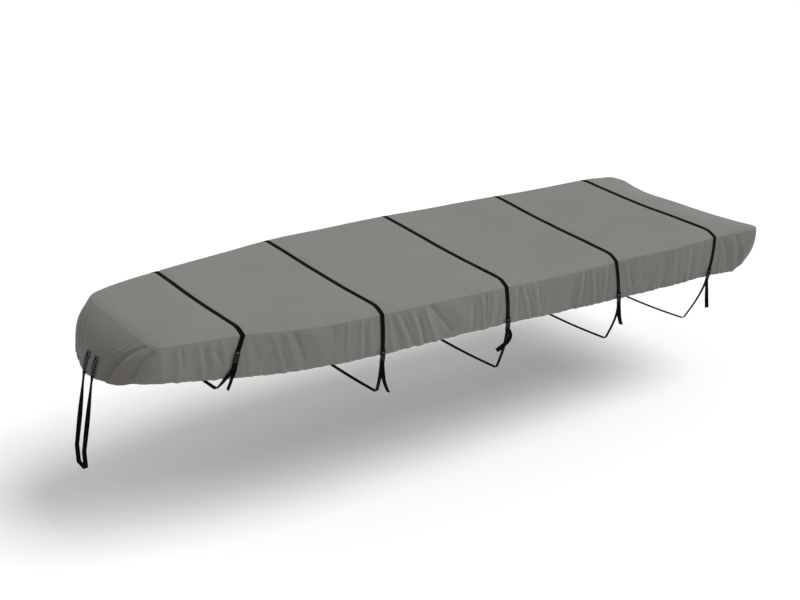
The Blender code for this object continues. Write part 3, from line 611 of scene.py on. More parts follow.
def finished(mesh, cap_sides=0):
    """Merges a mesh's doubled points, closes its open ends and turns its faces outwards."""
    bm = bmesh.new()
    bm.from_mesh(mesh)
    empty = [f for f in bm.faces if f.calc_area() < 1e-11]
    bmesh.ops.delete(bm, geom=empty, context="FACES")
    bmesh.ops.remove_doubles(bm, verts=bm.verts[:], dist=1e-6)
    if cap_sides:
        bmesh.ops.holes_fill(bm, edges=bm.edges[:], sides=cap_sides)
    bmesh.ops.recalc_face_normals(bm, faces=bm.faces[:])
    bm.to_mesh(mesh)
    bm.free()
    return mesh


def facing(mesh, outward):
    """Turns an open sheet over if its middle faces the wrong way."""
    middle = mesh.polygons[len(mesh.polygons) // 2]
    if middle.normal.dot(Vector(outward)) < 0:
        mesh.flip_normals()
    return mesh


def new_piece(name, mesh, *materials):
    """A shown piece that rides on the cover's only body."""
    for material in materials:
        mesh.materials.append(material)
    mesh.shade_smooth()
    piece = bpy.data.objects.new(name, mesh)
    bpy.context.scene.collection.objects.link(piece)
    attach(piece, "root")
    return piece


def thicken(piece, thickness):
    """Gives a sheet its thickness inwards, with its coated side on the inner face."""
    wall = piece.modifiers.new("thickness", "SOLIDIFY")
    wall.thickness = thickness
    wall.offset = -1.0
    wall.use_even_offset = False
    wall.material_offset = 1
    bpy.context.view_layer.update()
    graph = bpy.context.evaluated_depsgraph_get()
    sheet = piece.data
    piece.data = bpy.data.meshes.new_from_object(piece.evaluated_get(graph))
    piece.modifiers.clear()
    bpy.data.meshes.remove(sheet)
    piece.data.name = piece.name
    piece.data.set_sharp_from_angle(angle=math.radians(50))
    return piece


def row_shares(counts, bounds):
    """Even steps from bound to bound, with this many steps in each part."""
    parts = [np.linspace(a, b, n + 1)[1:] for n, a, b in zip(counts, bounds, bounds[1:])]
    return np.concatenate([[bounds[0]], *parts])


def skirt_mesh(name, start, end, columns, settings):
    """A skirt between two distances round the cover, with its hem turned in over the elastic."""
    hem = settings.hem_radius
    flat_rows = row_shares((26, 12), (0.0025 / SKIRT_DROP, 0.8, 1.0))
    turn_rows = 8
    return_rows = 3
    flat_last = len(flat_rows) - 1
    rows = flat_last + turn_rows + return_rows

    def place(column, row):
        distance = start + (end - start) * column / columns
        down = flat_rows[np.minimum(row, flat_last)]
        point, normal, downward = skirt_cloth(distance, down)
        turned = np.clip((row - flat_last) / turn_rows, 0, 1)
        angle = (math.pi * turned)[:, None]
        point = point + hem * (normal * (np.cos(angle) - 1) + downward * np.sin(angle))
        back = np.clip((row - flat_last - turn_rows) / return_rows, 0, 1)
        point = point - downward * (settings.hem_return * back)[:, None]
        length = down * SKIRT_DROP + hem * math.pi * turned + settings.hem_return * back
        return point, np.stack([distance, length], axis=1)

    return mapped_mesh(name, columns, rows, place)


def top_mesh(name, settings):
    """The top, with a lap that turns down over the skirts all round."""
    lap_rows = 4
    inner_columns, inner_rows = 92, 352
    columns, rows = inner_columns + 2 * lap_rows, inner_rows + 2 * lap_rows
    crowd_across, crowd_along = 0.60, 0.35

    def crowded(share, crowd):
        return share - crowd * np.sin(2 * math.pi * share) / (2 * math.pi)

    def place(column, row):
        across = crowded(np.clip((column - lap_rows) / inner_columns, 0, 1), crowd_across)
        along = crowded(np.clip((row - lap_rows) / inner_rows, 0, 1), crowd_along)
        beyond_column = np.maximum(lap_rows - column, column - lap_rows - inner_columns)
        beyond_row = np.maximum(lap_rows - row, row - lap_rows - inner_rows)
        beyond = np.maximum(np.maximum(beyond_column, beyond_row), 0)
        point = top_cloth(across, along)
        distance = border_distance(across, along)
        down = beyond / lap_rows * settings.lap_width / SKIRT_DROP
        on_skirt, normal, _ = skirt_cloth(distance, down)
        point = np.where(beyond[:, None] > 0, on_skirt, point)
        edge = np.minimum(np.minimum(across, 1 - across) * 1.5, np.minimum(along, 1 - along) * 5)
        lift = settings.lap_lift * np.where(beyond > 0, 1.0, eased(1 - edge / 0.012))
        point = point + normal * lift[:, None]
        return point, point[:, :2]

    return finished(mapped_mesh(name, columns, rows, place))


def share_along(side, y):
    """The shares along a side skirt at which its seam has these Ys."""
    shares = np.linspace(0, 1, 4001)
    seam = around(side * (BOW_END + SIDE_LENGTH * shares))[0]
    return np.interp(y, seam[:, 1], shares)


def skirt_spot(side, y, down, lift):
    """One point this far off a side skirt at this Y of the seam, and the way along the skirt."""
    share = float(share_along(side, y))
    distance = np.array([side * (BOW_END + SIDE_LENGTH * share)])
    down = np.array([float(down)])
    point, normal = plain_skirt(distance, down)
    ahead, _ = plain_skirt(distance + side * 0.01, down)
    return (point + normal * lift)[0], (ahead - point)[0]


def top_spot(across, along, lift):
    """One point this far off the top, and the way along the cover."""
    step = 0.002
    shares = np.array([across, max(across - step, 0.0), min(across + step, 1.0), across])
    point, low, high, ahead = top_cloth(shares, np.array([along, along, along, along + step]))
    normal = np.cross(ahead - point, high - low)
    normal = unit(normal) * math.copysign(1.0, normal[2])
    return point + normal * lift, ahead - point


def spaced(low, high, step):
    count = max(int(round(abs(high - low) / step)), 1)
    return np.linspace(low, high, count + 1)


def strap_y(strap, side, down):
    """Where a strap runs along Y at this share down one side's skirt."""
    if side < 0:
        return strap.far_y
    return strap.near_y + (strap.hem_y - strap.near_y) * down


def skirt_height(strap, side):
    """The length of the skirt from seam to hem where this strap crosses it."""
    share = float(share_along(side, strap_y(strap, side, 0.0)))
    seam, hem, _, _ = around(np.array([side * (BOW_END + SIDE_LENGTH * share)]))
    return float(np.linalg.norm(hem - seam))


def skirt_leg(strap, side, downs, lift):
    """The strap's points on one skirt, at these distances down from the seam."""
    height = skirt_height(strap, side)
    return [
        skirt_spot(side, strap_y(strap, side, down / height), down / height, lift)
        for down in downs
    ]


def seam_turn(strap, side, lift):
    """The strap's point where it turns over the seam, off both the top and the skirt."""
    y = strap_y(strap, side, 0.0)
    across = 0.0 if side > 0 else 1.0
    along = float(share_along(side, y))
    corner, ahead = top_spot(across, along, 0.0)
    above = (top_spot(across, along, lift)[0] - corner) / lift
    beside = (skirt_spot(side, y, 0.0, lift)[0] - corner) / lift
    turned = (above + beside) / (1 + np.dot(above, beside))
    return corner + turned * lift, ahead


def top_leg(strap, lift, width):
    """The strap's points over the top, from the port shoulder to the starboard one."""
    port = float(share_along(1.0, strap.near_y))
    starboard = float(share_along(-1.0, strap.far_y))
    even = np.linspace(0, 1, 61)[1:-1]
    crowd = 0.7
    shares = even - crowd * np.sin(2 * math.pi * even) / (2 * math.pi)
    tilt = STRAP_TILTS[strap.number - 1]
    leg = []
    for across in shares:
        steep = tilt * float(eased(min(across, 1 - across) / TILT_RUN))
        along = port + (starboard - port) * across
        point, ahead = top_spot(across, along, lift + 0.5 * width * steep)
        leg.append((point, unit(ahead) + np.array([0.0, 0.0, steep])))
    return leg


def fillet(before, corner, after, radius):
    """Points of an arc that rounds a corner of a route."""
    one = unit(before - corner)
    two = unit(after - corner)
    half = 0.5 * math.acos(float(np.clip(np.dot(one, two), -1, 1)))
    reach = radius / math.tan(half)
    centre = corner + unit(one + two) * radius / math.sin(half)
    first = corner + one * reach - centre
    last = corner + two * reach - centre
    sweep = math.pi - 2 * half
    return [
        centre
        + (math.sin((1 - share) * sweep) * first + math.sin(share * sweep) * last)
        / math.sin(sweep)
        for share in np.linspace(0, 1, TURN_STEPS)
    ]


def buckle_frame(strap):
    """Where the buckle's halves meet, and its directions across, up and out."""
    share = strap.drop / skirt_height(strap, 1.0)
    y = strap_y(strap, 1.0, share)
    point, _ = skirt_spot(1.0, y, share, BUCKLE_LIFT)
    above, across = skirt_spot(1.0, y, share - 0.05, BUCKLE_LIFT)
    up = above - point
    up[1] = (strap.near_y - strap.hem_y) * 0.05
    up = unit(up)
    out = np.cross(across, up)
    out = unit(out) * math.copysign(1.0, out[0])
    return point, np.cross(up, out), up, out


def from_buckle(frame_axes, along, out):
    point, _, up, outward = frame_axes
    return point + up * along + outward * out


def rod_turn(axes, rod, first, last):
    """Points round a rod of the buckle between two angles, counted from outwards to up."""
    return [
        from_buckle(axes, rod + TURN_RADIUS * math.sin(a), TURN_RADIUS * math.cos(a))
        for a in np.radians(np.linspace(first, last, TURN_STEPS + 2))
    ]


def tail_points(strap, axes):
    """The free end: it comes off the rod outwards and hangs, bent and twisted a little."""
    start = from_buckle(axes, PLUG_END_ROD - 0.3 * LEAD, TURN_RADIUS + 0.001)
    _, across, _, outward = axes
    points = [(start, across)]
    for share in np.linspace(0, 1, TAIL_STEPS + 1)[1:]:
        drop = strap.tail * share
        out = TAIL_OUT * math.sin(math.pi * share)
        aft = strap.lean * share**2 + strap.bow * math.sin(math.pi * share)
        turn = math.radians(strap.twist) * min(2 * share, 1.0)
        width = across * math.cos(turn) + outward * math.sin(turn)
        points.append((start + np.array([out, aft, -drop]), width))
    return points


def hem_turn(lead, hull, lift):
    """The point where a strap that leads down to the hull turns over the hem of the skirt."""
    share = 0.5
    for _ in range(8):
        y = lead[1] + (hull[1] - lead[1]) * share
        point, ahead = skirt_spot(1.0, y, 1.0, lift)
        share = (lead[2] - point[2]) / (lead[2] - hull[2])
    return [(point, ahead)]


def strap_route(strap, lift, width):
    """Points and width directions from the sewn end, over and under the boat, to the tail."""
    axes = buckle_frame(strap)
    across = axes[1]
    low_seam = strap.drop - SOCKET_ROD - SEWN_LAP - 0.03
    upper = skirt_leg(strap, 1.0, spaced(low_seam, SEAM_STEP, 0.025), lift)
    route = [(from_buckle(axes, SOCKET_ROD + SEWN_LAP, TURN_RADIUS), across)]
    route += [(p, across) for p in rod_turn(axes, SOCKET_ROD, 0, -180)]
    route += upper + [seam_turn(strap, 1.0, lift)]
    route += top_leg(strap, lift, width) + [seam_turn(strap, -1.0, lift)]
    far_downs = spaced(SEAM_STEP, skirt_height(strap, -1.0), 0.025)
    route += skirt_leg(strap, -1.0, far_downs, lift)
    aft = np.array([0.0, 1.0, 0.0])
    height = strap.hull_z - MOUNT_HEIGHT
    starboard = np.array([-strap.hull_x, strap.hull_y, height])
    port = np.array([strap.hull_x, strap.hull_y, height])
    lead = from_buckle(axes, PLUG_END_ROD - LEAD, -TURN_RADIUS)
    over_hem = []
    if strap.drop - PLUG_END_ROD + LEAD < skirt_height(strap, 1.0):
        over_hem = hem_turn(lead, port, lift)
    first = over_hem[0][0] if over_hem else lead
    route += [(p, -aft) for p in fillet(route[-1][0], starboard, port, CHINE_RADIUS)]
    route += [(p, -aft) for p in fillet(starboard, port, first, CHINE_RADIUS)]
    route += over_hem + [(lead, across)]
    for up in (PLUG_END_ROD - 0.3 * LEAD, PLUG_ROD - 0.004):
        route.append((from_buckle(axes, up, -TURN_RADIUS), across))
    route += [(p, across) for p in rod_turn(axes, PLUG_ROD, 180, 0)]
    return route + tail_points(strap, axes)


def bow_point(x, down):
    """A point off the bow cloth at this X, and the direction across the cloth."""
    distances = np.linspace(-BOW_END, BOW_END, 801)
    place = np.full(801, float(down))
    points, _ = plain_skirt(distances, place)
    distance = np.array([np.interp(x, points[:, 0], distances)])
    point, normal, _ = skirt_cloth(distance, np.array([float(down)]))
    return (point + normal * BOW_LIFT)[0], np.array([1.0, 0.0, 0.0])


def bow_leg(side):
    """One end of the bow strap: sewn to the bow, then straight down to the tongue."""
    seam, hem, _, _ = around(np.array([0.0]))
    lap = BOW_STRAP_LAP / float(np.linalg.norm(hem - seam))
    x = BOW_STRAP_SHIFT + side * BOW_STRAP_X
    leg = [bow_point(x, down) for down in np.linspace(1 - lap, 0.99, BOW_LAP_POINTS)]
    lip = leg[-1][0]
    beside = TONGUE_SHIFT + side * TONGUE_HALF
    knee = np.array([beside, TONGUE_Y, TONGUE_TOP - MOUNT_HEIGHT])
    for share in np.linspace(0, 1, 13)[1:]:
        turn = 0.5 * math.pi * float(eased(share))
        width = np.array([math.cos(turn), math.sin(turn), 0.0])
        leg.append((lip + (knee - lip) * share, width))
    corner = np.array([beside, TONGUE_Y, TONGUE_BOTTOM - MOUNT_HEIGHT])
    other = corner - np.array([2 * side * TONGUE_HALF, 0.0, 0.0])
    width = np.array([0.0, 1.0, 0.0])
    down = [knee + (corner - knee) * share for share in (0.25, 0.50, 0.70, 0.82)]
    below = [corner + (other - corner) * share for share in (0.20, 0.35)]
    turned = down + fillet(knee, corner, other, TONGUE_RADIUS) + below
    return leg + [(p, width) for p in turned]


def smooth_route(route, spans, step):
    """A route as rows of points, widths, normals, places along it and spans, a step apart."""
    points = np.array([p for p, _ in route])
    widths = unit(np.array([w for _, w in route], float))
    for row in range(1, len(widths)):
        if np.dot(widths[row], widths[row - 1]) < 0:
            widths[row] = -widths[row]
    lengths = np.linalg.norm(np.diff(points, axis=0), axis=1)
    knots = np.concatenate([[0.0], np.cumsum(lengths)])
    counts = np.maximum(np.ceil(lengths / step).astype(int), 1)
    places = row_shares(counts, knots)
    rows = curve_through(knots, np.hstack([points, widths]))(places)
    points, widths = rows[:, :3], rows[:, 3:]
    tangents = unit(np.gradient(points, axis=0))
    widths = unit(widths - tangents * np.sum(widths * tangents, axis=1)[:, None])
    spans = np.interp(places, knots, spans)
    return points, widths, np.cross(widths, tangents), places, spans


def webbing_mesh(name, route, spans, width, thickness):
    """Flat webbing with rounded edges along a route, closed at both ends.

    The width is the usual one, and the spans are how wide it is at each point of the route.
    """
    points, widths, normals, places, spans = smooth_route(route, spans, 0.008)
    half, flat, thin = width / 2, width / 2 - 0.0012, thickness / 2
    side = [(-half, 0), (-flat, thin), (-flat / 3, thin), (flat / 3, thin), (flat, thin)]
    section = np.array(side + [(-x, -y) for x, y in side])
    columns = len(section)
    ring = np.concatenate([section, section[:1]])
    girth = np.concatenate(
        [[0.0], np.cumsum(np.linalg.norm(np.diff(ring, axis=0), axis=1))]
    )

    def place(column, row):
        spot = ring[column]
        wide = widths[row] * (spans[row] / width)[:, None]
        point = points[row] + wide * spot[:, :1] + normals[row] * spot[:, 1:]
        return point, np.stack([girth[column], places[row]], axis=1)

    mesh = mapped_mesh(name, columns, len(points) - 1, place)
    return finished(mesh, cap_sides=columns)


def thread_mesh(name, lines, pitch, radius):
    """Lines of lockstitch: each stitch stands on the cloth and its ends dip into it.

    A line is a row of points on the cloth and the way the cloth faces at each.
    """
    whole = bmesh.new()
    per_stitch = (0.0, 0.2, 0.8)
    for points, normals in lines:
        lengths = np.linalg.norm(np.diff(points, axis=0), axis=1)
        knots = np.concatenate([[0.0], np.cumsum(lengths)])
        count = max(int(knots[-1] / pitch), 1)
        places = (np.arange(count)[:, None] + np.array(per_stitch)).ravel()
        places = np.append(places, count) * knots[-1] / count
        rows = curve_through(knots, np.hstack([points, normals]))(places)
        centres, outward = rows[:, :3], unit(rows[:, 3:])
        tangents = unit(np.gradient(centres, axis=0))
        sideways = unit(np.cross(tangents, outward))
        dips = np.where(np.arange(len(places)) % len(per_stitch) == 0, -1.1, 0.6) * radius
        centres = centres + outward * dips[:, None]
        columns = 5
        turns = 2 * math.pi * np.arange(columns + 1) / columns

        def place(column, row):
            angle = turns[column][:, None]
            off = sideways[row] * np.cos(angle) + outward[row] * np.sin(angle)
            return centres[row] + off * radius, np.stack([column * 0.1, places[row]], axis=1)

        line = mapped_mesh("line", columns, len(places) - 1, place)
        whole.from_mesh(finished(line, cap_sides=columns))
        bpy.data.meshes.remove(line)
    return mesh_from(whole, name)


def straight_line(start, end, outward):
    """A straight line of points between two places, and the way the webbing faces there."""
    share = np.linspace(0, 1, 12)[:, None]
    points = start * (1 - share) + end * share
    return points, np.repeat(outward[None, :], len(points), axis=0)


def tack_lines(strap, width, thickness):
    """The rows of stitches across a strap that close its loop in the buckle's upper half."""
    axes = buckle_frame(strap)
    half = axes[1] * (width / 2 - TACK_INSET)
    face = TURN_RADIUS + thickness / 2
    rows = SOCKET_ROD + TACK_START + TACK_STEP * np.arange(TACK_ROWS)
    middles = [from_buckle(axes, row, face) for row in rows]
    return [straight_line(middle - half, middle + half, axes[3]) for middle in middles]


def patch_lines(side, width, thickness):
    """The box and the cross that sew one end of the bow strap to the bow."""
    route = bow_leg(side)[:BOW_LAP_POINTS]
    spans = [width] * BOW_LAP_POINTS
    points, widths, normals, places, _ = smooth_route(route, spans, 0.004)
    outward = normals * -np.sign(normals[:, 1:2])
    rows = curve_through(places, np.hstack([points + outward * thickness / 2, widths, outward]))
    edge = width / 2 - PATCH_INSET
    low, high = PATCH_INSET, places[-1] - PATCH_INSET
    corners = ((-edge, low), (edge, low), (edge, high), (-edge, high))
    lines = []
    for first, last in ((0, 1), (1, 2), (2, 3), (3, 0), (0, 2), (1, 3)):
        share = np.linspace(0, 1, 16)
        off = corners[first][0] + (corners[last][0] - corners[first][0]) * share
        down = corners[first][1] + (corners[last][1] - corners[first][1]) * share
        found = rows(down)
        lines.append((found[:, :3] + found[:, 3:6] * off[:, None], unit(found[:, 6:])))
    return lines


def skirt_line(start, end, down, lift=0.0, step=0.01):
    """A line of points along a skirt, at one height on it."""
    distance = spaced(start, end, step)
    point, normal, _ = skirt_cloth(distance, np.full(len(distance), down))
    return point + normal * lift, normal


def add_node(tree, kind, **settings):
    node = tree.nodes.new(kind)
    for name, value in settings.items():
        setattr(node, name, value)
    return node


def feed(tree, socket, value):
    """Gives a socket a plain value, or joins another node's output to it."""
    if isinstance(value, bpy.types.NodeSocket):
        tree.links.new(value, socket)
    else:
        socket.default_value = value


def calc(tree, operation, *values):
    node = add_node(tree, "ShaderNodeMath", operation=operation)
    for socket, value in zip(node.inputs, values):
        feed(tree, socket, value)
    return node.outputs[0]


def blend_colors(tree, share, one, two):
    node = add_node(tree, "ShaderNodeMix", data_type="RGBA")
    for socket, value in zip((node.inputs[0], node.inputs[6], node.inputs[7]), (share, one, two)):
        feed(tree, socket, value)
    return node.outputs[2]


def noise(tree, vector, scale, detail=2.0, rough=0.5):
    node = add_node(tree, "ShaderNodeTexNoise")
    feed(tree, node.inputs["Vector"], vector)
    node.inputs["Scale"].default_value = scale
    node.inputs["Detail"].default_value = detail
    node.inputs["Roughness"].default_value = rough
    return node.outputs["Fac"]


def ranged(tree, value, low, high, out_low=0.0, out_high=1.0):
    node = add_node(tree, "ShaderNodeMapRange")
    for socket, number in zip(node.inputs, (value, low, high, out_low, out_high)):
        feed(tree, socket, number)
    return node.outputs[0]


def new_group(name, inputs, outputs):
    """An empty shader node group with these inputs and outputs."""
    tree = bpy.data.node_groups.new(name, "ShaderNodeTree")
    for label, kind, value in inputs:
        socket = tree.interface.new_socket(name=label, in_out="INPUT", socket_type=kind)
        if value is not None:
            socket.default_value = value
    for label, kind in outputs:
        tree.interface.new_socket(name=label, in_out="OUTPUT", socket_type=kind)
    return tree, tree.nodes.new("NodeGroupInput"), tree.nodes.new("NodeGroupOutput")


def plain_weave_group():
    """Threads over and under each other, at one pitch both ways."""
    name = "plain_weave"
    if name in bpy.data.node_groups:
        return bpy.data.node_groups[name]
    inputs = (("Place", "NodeSocketVector", None), ("Pitch", "NodeSocketFloat", 0.0008))
    outputs = (("Height", "NodeSocketFloat"), ("Gap", "NodeSocketFloat"))
    tree, source, result = new_group(name, inputs, outputs)
    split = add_node(tree, "ShaderNodeSeparateXYZ")
    feed(tree, split.inputs[0], source.outputs["Place"])
    u = calc(tree, "DIVIDE", split.outputs[0], source.outputs["Pitch"])
    v = calc(tree, "DIVIDE", split.outputs[1], source.outputs["Pitch"])
    threads = []
    for here, other, turn in ((u, v, 0.0), (v, u, 1.0)):
        crown = calc(tree, "SINE", calc(tree, "MULTIPLY", here, math.pi))
        crown = calc(tree, "MULTIPLY", crown, crown)
        step = calc(tree, "ADD", calc(tree, "FLOOR", here), turn)
        rise = calc(tree, "COSINE", calc(tree, "MULTIPLY", calc(tree, "ADD", other, step), math.pi))
        threads.append(calc(tree, "MULTIPLY", crown, ranged(tree, rise, -1.0, 1.0, 0.25, 1.0)))
    height = calc(tree, "MAXIMUM", *threads)
    feed(tree, result.inputs["Height"], height)
    feed(tree, result.inputs["Gap"], ranged(tree, height, 0.30, 0.05))
    return tree


def rib_weave_group():
    """The close ribs of webbing, with a chevron where one rib's threads pass the next's."""
    name = "rib_weave"
    if name in bpy.data.node_groups:
        return bpy.data.node_groups[name]
    inputs = (
        ("Place", "NodeSocketVector", None),
        ("Rib", "NodeSocketFloat", 0.0016),
        ("Thread", "NodeSocketFloat", 0.0022),
    )
    tree, source, result = new_group(name, inputs, (("Height", "NodeSocketFloat"),))
    split = add_node(tree, "ShaderNodeSeparateXYZ")
    feed(tree, split.inputs[0], source.outputs["Place"])
    u = calc(tree, "DIVIDE", split.outputs[0], source.outputs["Rib"])
    v = calc(tree, "DIVIDE", split.outputs[1], source.outputs["Thread"])
    crown = calc(tree, "SINE", calc(tree, "MULTIPLY", u, math.pi))
    crown = calc(tree, "MULTIPLY", crown, crown)
    shifted = calc(tree, "ADD", v, calc(tree, "MULTIPLY", calc(tree, "FLOOR", u), 0.5))
    bead = calc(tree, "COSINE", calc(tree, "MULTIPLY", shifted, 2 * math.pi))
    height = calc(tree, "MULTIPLY", crown, ranged(tree, bead, -1.0, 1.0, 0.45, 1.0))
    feed(tree, result.inputs["Height"], height)
    return tree


def weathering_group():
    """The uneven tone of cloth or plastic that has been outdoors: broad fading and fine dust."""
    name = "weathering"
    if name in bpy.data.node_groups:
        return bpy.data.node_groups[name]
    inputs = (
        ("Place", "NodeSocketVector", None),
        ("Patch", "NodeSocketFloat", 2.0),
        ("Speck", "NodeSocketFloat", 60.0),
    )
    outputs = (("Fade", "NodeSocketFloat"), ("Dust", "NodeSocketFloat"))
    tree, source, result = new_group(name, inputs, outputs)
    broad = add_node(tree, "ShaderNodeTexNoise")
    fine = add_node(tree, "ShaderNodeTexNoise")
    for node, scale, detail in ((broad, "Patch", 3.0), (fine, "Speck", 2.0)):
        feed(tree, node.inputs["Vector"], source.outputs["Place"])
        feed(tree, node.inputs["Scale"], source.outputs[scale])
        node.inputs["Detail"].default_value = detail
    feed(tree, result.inputs["Fade"], ranged(tree, broad.outputs["Fac"], 0.35, 0.65))
    feed(tree, result.inputs["Dust"], ranged(tree, fine.outputs["Fac"], 0.40, 0.75))
    return tree


def place_group(tree, group, **values):
    node = add_node(tree, "ShaderNodeGroup", node_tree=group)
    for label, value in values.items():
        feed(tree, node.inputs[label], value)
    return node


def shaded(color, share):
    """A colour made lighter or darker by this share."""
    return (*(channel * share for channel in color[:3]), 1.0)


def new_finish(name, roughness):
    """A material with its node tree, its shader and Object coordinates."""
    material = bpy.data.materials.new(name)
    material.use_nodes = True
    tree = material.node_tree
    shader = tree.nodes["Principled BSDF"]
    shader.inputs["Roughness"].default_value = roughness
    place = add_node(tree, "ShaderNodeTexCoord").outputs["Object"]
    return material, tree, shader, place


def add_bump(tree, shader, layers):
    """Bump layers, each a height and a depth in metres, one on another into the shader."""
    normal = None
    for height, depth in layers:
        bump = add_node(tree, "ShaderNodeBump")
        bump.inputs["Distance"].default_value = depth
        feed(tree, bump.inputs["Height"], height)
        if normal is not None:
            feed(tree, bump.inputs["Normal"], normal)
        normal = bump.outputs["Normal"]
    feed(tree, shader.inputs["Normal"], normal)


def painted_end_shade(tree, place, tone, color, settings, aft):
    """Painted shade: the tone made darker towards the stern by one share, and a warm brownish dark
    down the bow.
    """
    parts = add_node(tree, "ShaderNodeSeparateXYZ")
    feed(tree, parts.inputs[0], place)
    along = parts.outputs["Y"]
    stern = ranged(tree, along, SHADE_STERN_START, SHADE_STERN_END, 0.0, aft)
    tone = blend_colors(tree, stern, tone, shaded(color, 0.0))
    bow = ranged(tree, along, SHADE_BOW_START, SHADE_BOW_END, 0.0, settings.bow_end_shade)
    return blend_colors(tree, bow, tone, shaded(settings.bow_shade_color, 1.0))


def cloth_finish(name, color, settings, wrinkle, aft=0.0, coated=False):
    """Coated polyester: fine plain weave, soft fading and small wrinkles."""
    if name in bpy.data.materials:
        return bpy.data.materials[name]
    material, tree, shader, place = new_finish(name, 0.86 if not coated else 0.62)
    flat = add_node(tree, "ShaderNodeUVMap", uv_map=WEAVE_MAP).outputs["UV"]
    weave = place_group(tree, plain_weave_group(), Place=flat, Pitch=settings.thread_pitch)
    worn = place_group(tree, weathering_group(), Place=place, Patch=2.2, Speck=45.0)
    tone = blend_colors(tree, worn.outputs["Fade"], shaded(color, 0.965), shaded(color, 1.035))
    tone = blend_colors(
        tree, calc(tree, "MULTIPLY", worn.outputs["Dust"], 0.10), tone, shaded(color, 1.35)
    )
    if not coated:
        # Painted shade: darker towards the stern, and a brownish dark down the bow.
        tone = painted_end_shade(tree, place, tone, color, settings, aft)
    # Painted shade: the cloth is darker in the gaps between its threads.
    gap = calc(tree, "MULTIPLY", weave.outputs["Gap"], 0.25 if not coated else 0.05)
    tone = blend_colors(tree, gap, tone, shaded(color, 0.45))
    feed(tree, shader.inputs["Base Color"], tone)
    rough = ranged(tree, worn.outputs["Dust"], 0.0, 1.0, 0.82, 0.92)
    if coated:
        rough = ranged(tree, worn.outputs["Dust"], 0.0, 1.0, 0.55, 0.70)
    feed(tree, shader.inputs["Roughness"], rough)
    shader.inputs["Sheen Weight"].default_value = 0.08
    shader.inputs["Sheen Roughness"].default_value = 0.6
    crumple = noise(tree, place, 26.0, 3.0, 0.55)
    add_bump(tree, shader, ((crumple, wrinkle), (weave.outputs["Height"], 0.00012)))
    return material


def webbing_finish(settings):
    """Black polyester webbing with ribs along it, a little dusty on its crowns."""
    if "black_webbing" in bpy.data.materials:
        return bpy.data.materials["black_webbing"]
    material, tree, shader, place = new_finish("black_webbing", 0.7)
    flat = add_node(tree, "ShaderNodeUVMap", uv_map=WEAVE_MAP).outputs["UV"]
    weave = place_group(tree, rib_weave_group(), Place=flat)
    worn = place_group(tree, weathering_group(), Place=place, Patch=6.0, Speck=120.0)
    color = settings.webbing_color
    height = weave.outputs["Height"]
    # Painted shade and light: darker in the grooves between the ribs, lighter on their crowns.
    tone = blend_colors(tree, height, shaded(color, 0.45), shaded(color, 1.25))
    dust = calc(tree, "MULTIPLY", worn.outputs["Dust"], height)
    tone = blend_colors(tree, calc(tree, "MULTIPLY", dust, 0.12), tone, shaded(color, 3.0))
    feed(tree, shader.inputs["Base Color"], tone)
    feed(tree, shader.inputs["Roughness"], ranged(tree, worn.outputs["Fade"], 0, 1, 0.62, 0.78))
    shader.inputs["Specular IOR Level"].default_value = 0.04
    add_bump(tree, shader, ((height, 0.0003),))
    return material


def thread_finish(name, color):
    """Twisted thread."""
    if name in bpy.data.materials:
        return bpy.data.materials[name]
    material, tree, shader, place = new_finish(name, 0.6)
    flat = add_node(tree, "ShaderNodeUVMap", uv_map=WEAVE_MAP).outputs["UV"]
    twist = add_node(tree, "ShaderNodeTexWave", bands_direction="DIAGONAL")
    feed(tree, twist.inputs["Vector"], flat)
    twist.inputs["Scale"].default_value = 400.0
    worn = place_group(tree, weathering_group(), Place=place, Patch=9.0, Speck=150.0)
    # Painted shade and light: darker in the grooves of the twist, lighter on its ridges.
    tone = blend_colors(tree, twist.outputs["Fac"], shaded(color, 0.7), shaded(color, 1.15))
    tone = blend_colors(
        tree, calc(tree, "MULTIPLY", worn.outputs["Dust"], 0.2), tone, shaded(color, 1.5)
    )
    feed(tree, shader.inputs["Base Color"], tone)
    add_bump(tree, shader, ((twist.outputs["Fac"], 0.0001),))
    return material


def plastic_finish(settings):
    """Moulded black plastic with a fine grain, uneven in tone, and duller and paler in fine specks.
    """
    if "moulded_plastic" in bpy.data.materials:
        return bpy.data.materials["moulded_plastic"]
    material, tree, shader, place = new_finish("moulded_plastic", 0.4)
    worn = place_group(tree, weathering_group(), Place=place, Patch=30.0, Speck=300.0)
    color = settings.buckle_color
    tone = blend_colors(tree, worn.outputs["Fade"], shaded(color, 0.85), shaded(color, 1.15))
    tone = blend_colors(
        tree, calc(tree, "MULTIPLY", worn.outputs["Dust"], 0.15), tone, shaded(color, 2.2)
    )
    feed(tree, shader.inputs["Base Color"], tone)
    feed(tree, shader.inputs["Roughness"], ranged(tree, worn.outputs["Dust"], 0, 1, 0.32, 0.5))
    shader.inputs["Specular IOR Level"].default_value = 0.12
    add_bump(tree, shader, ((noise(tree, place, 2600.0, 2.0), 0.00004),))
    return material


def floor_finish(settings):
    """Plain pale floor with the faintest unevenness."""
    material, tree, shader, place = new_finish("studio_floor", 0.9)
    cloud = noise(tree, place, 0.6, 2.0)
    color = settings.floor_color
    tone = blend_colors(tree, cloud, shaded(color, 0.995), shaded(color, 1.0))
    feed(tree, shader.inputs["Base Color"], tone)
    shader.inputs["Specular IOR Level"].default_value = 0.1
    return material


def rounded_block(bm, size, centre, radius):
    """A box with its edges rounded."""
    made = bmesh.ops.create_cube(bm, size=1.0)["verts"]
    bmesh.ops.scale(bm, vec=Vector(size), verts=made)
    bmesh.ops.translate(bm, vec=Vector(centre), verts=made)
    if radius:
        edges = list({edge for vert in made for edge in vert.link_edges})
        bmesh.ops.bevel(
            bm,
            geom=edges,
            offset=radius,
            segments=3,
            profile=0.5,
            affect="EDGES",
            material=-1,
        )


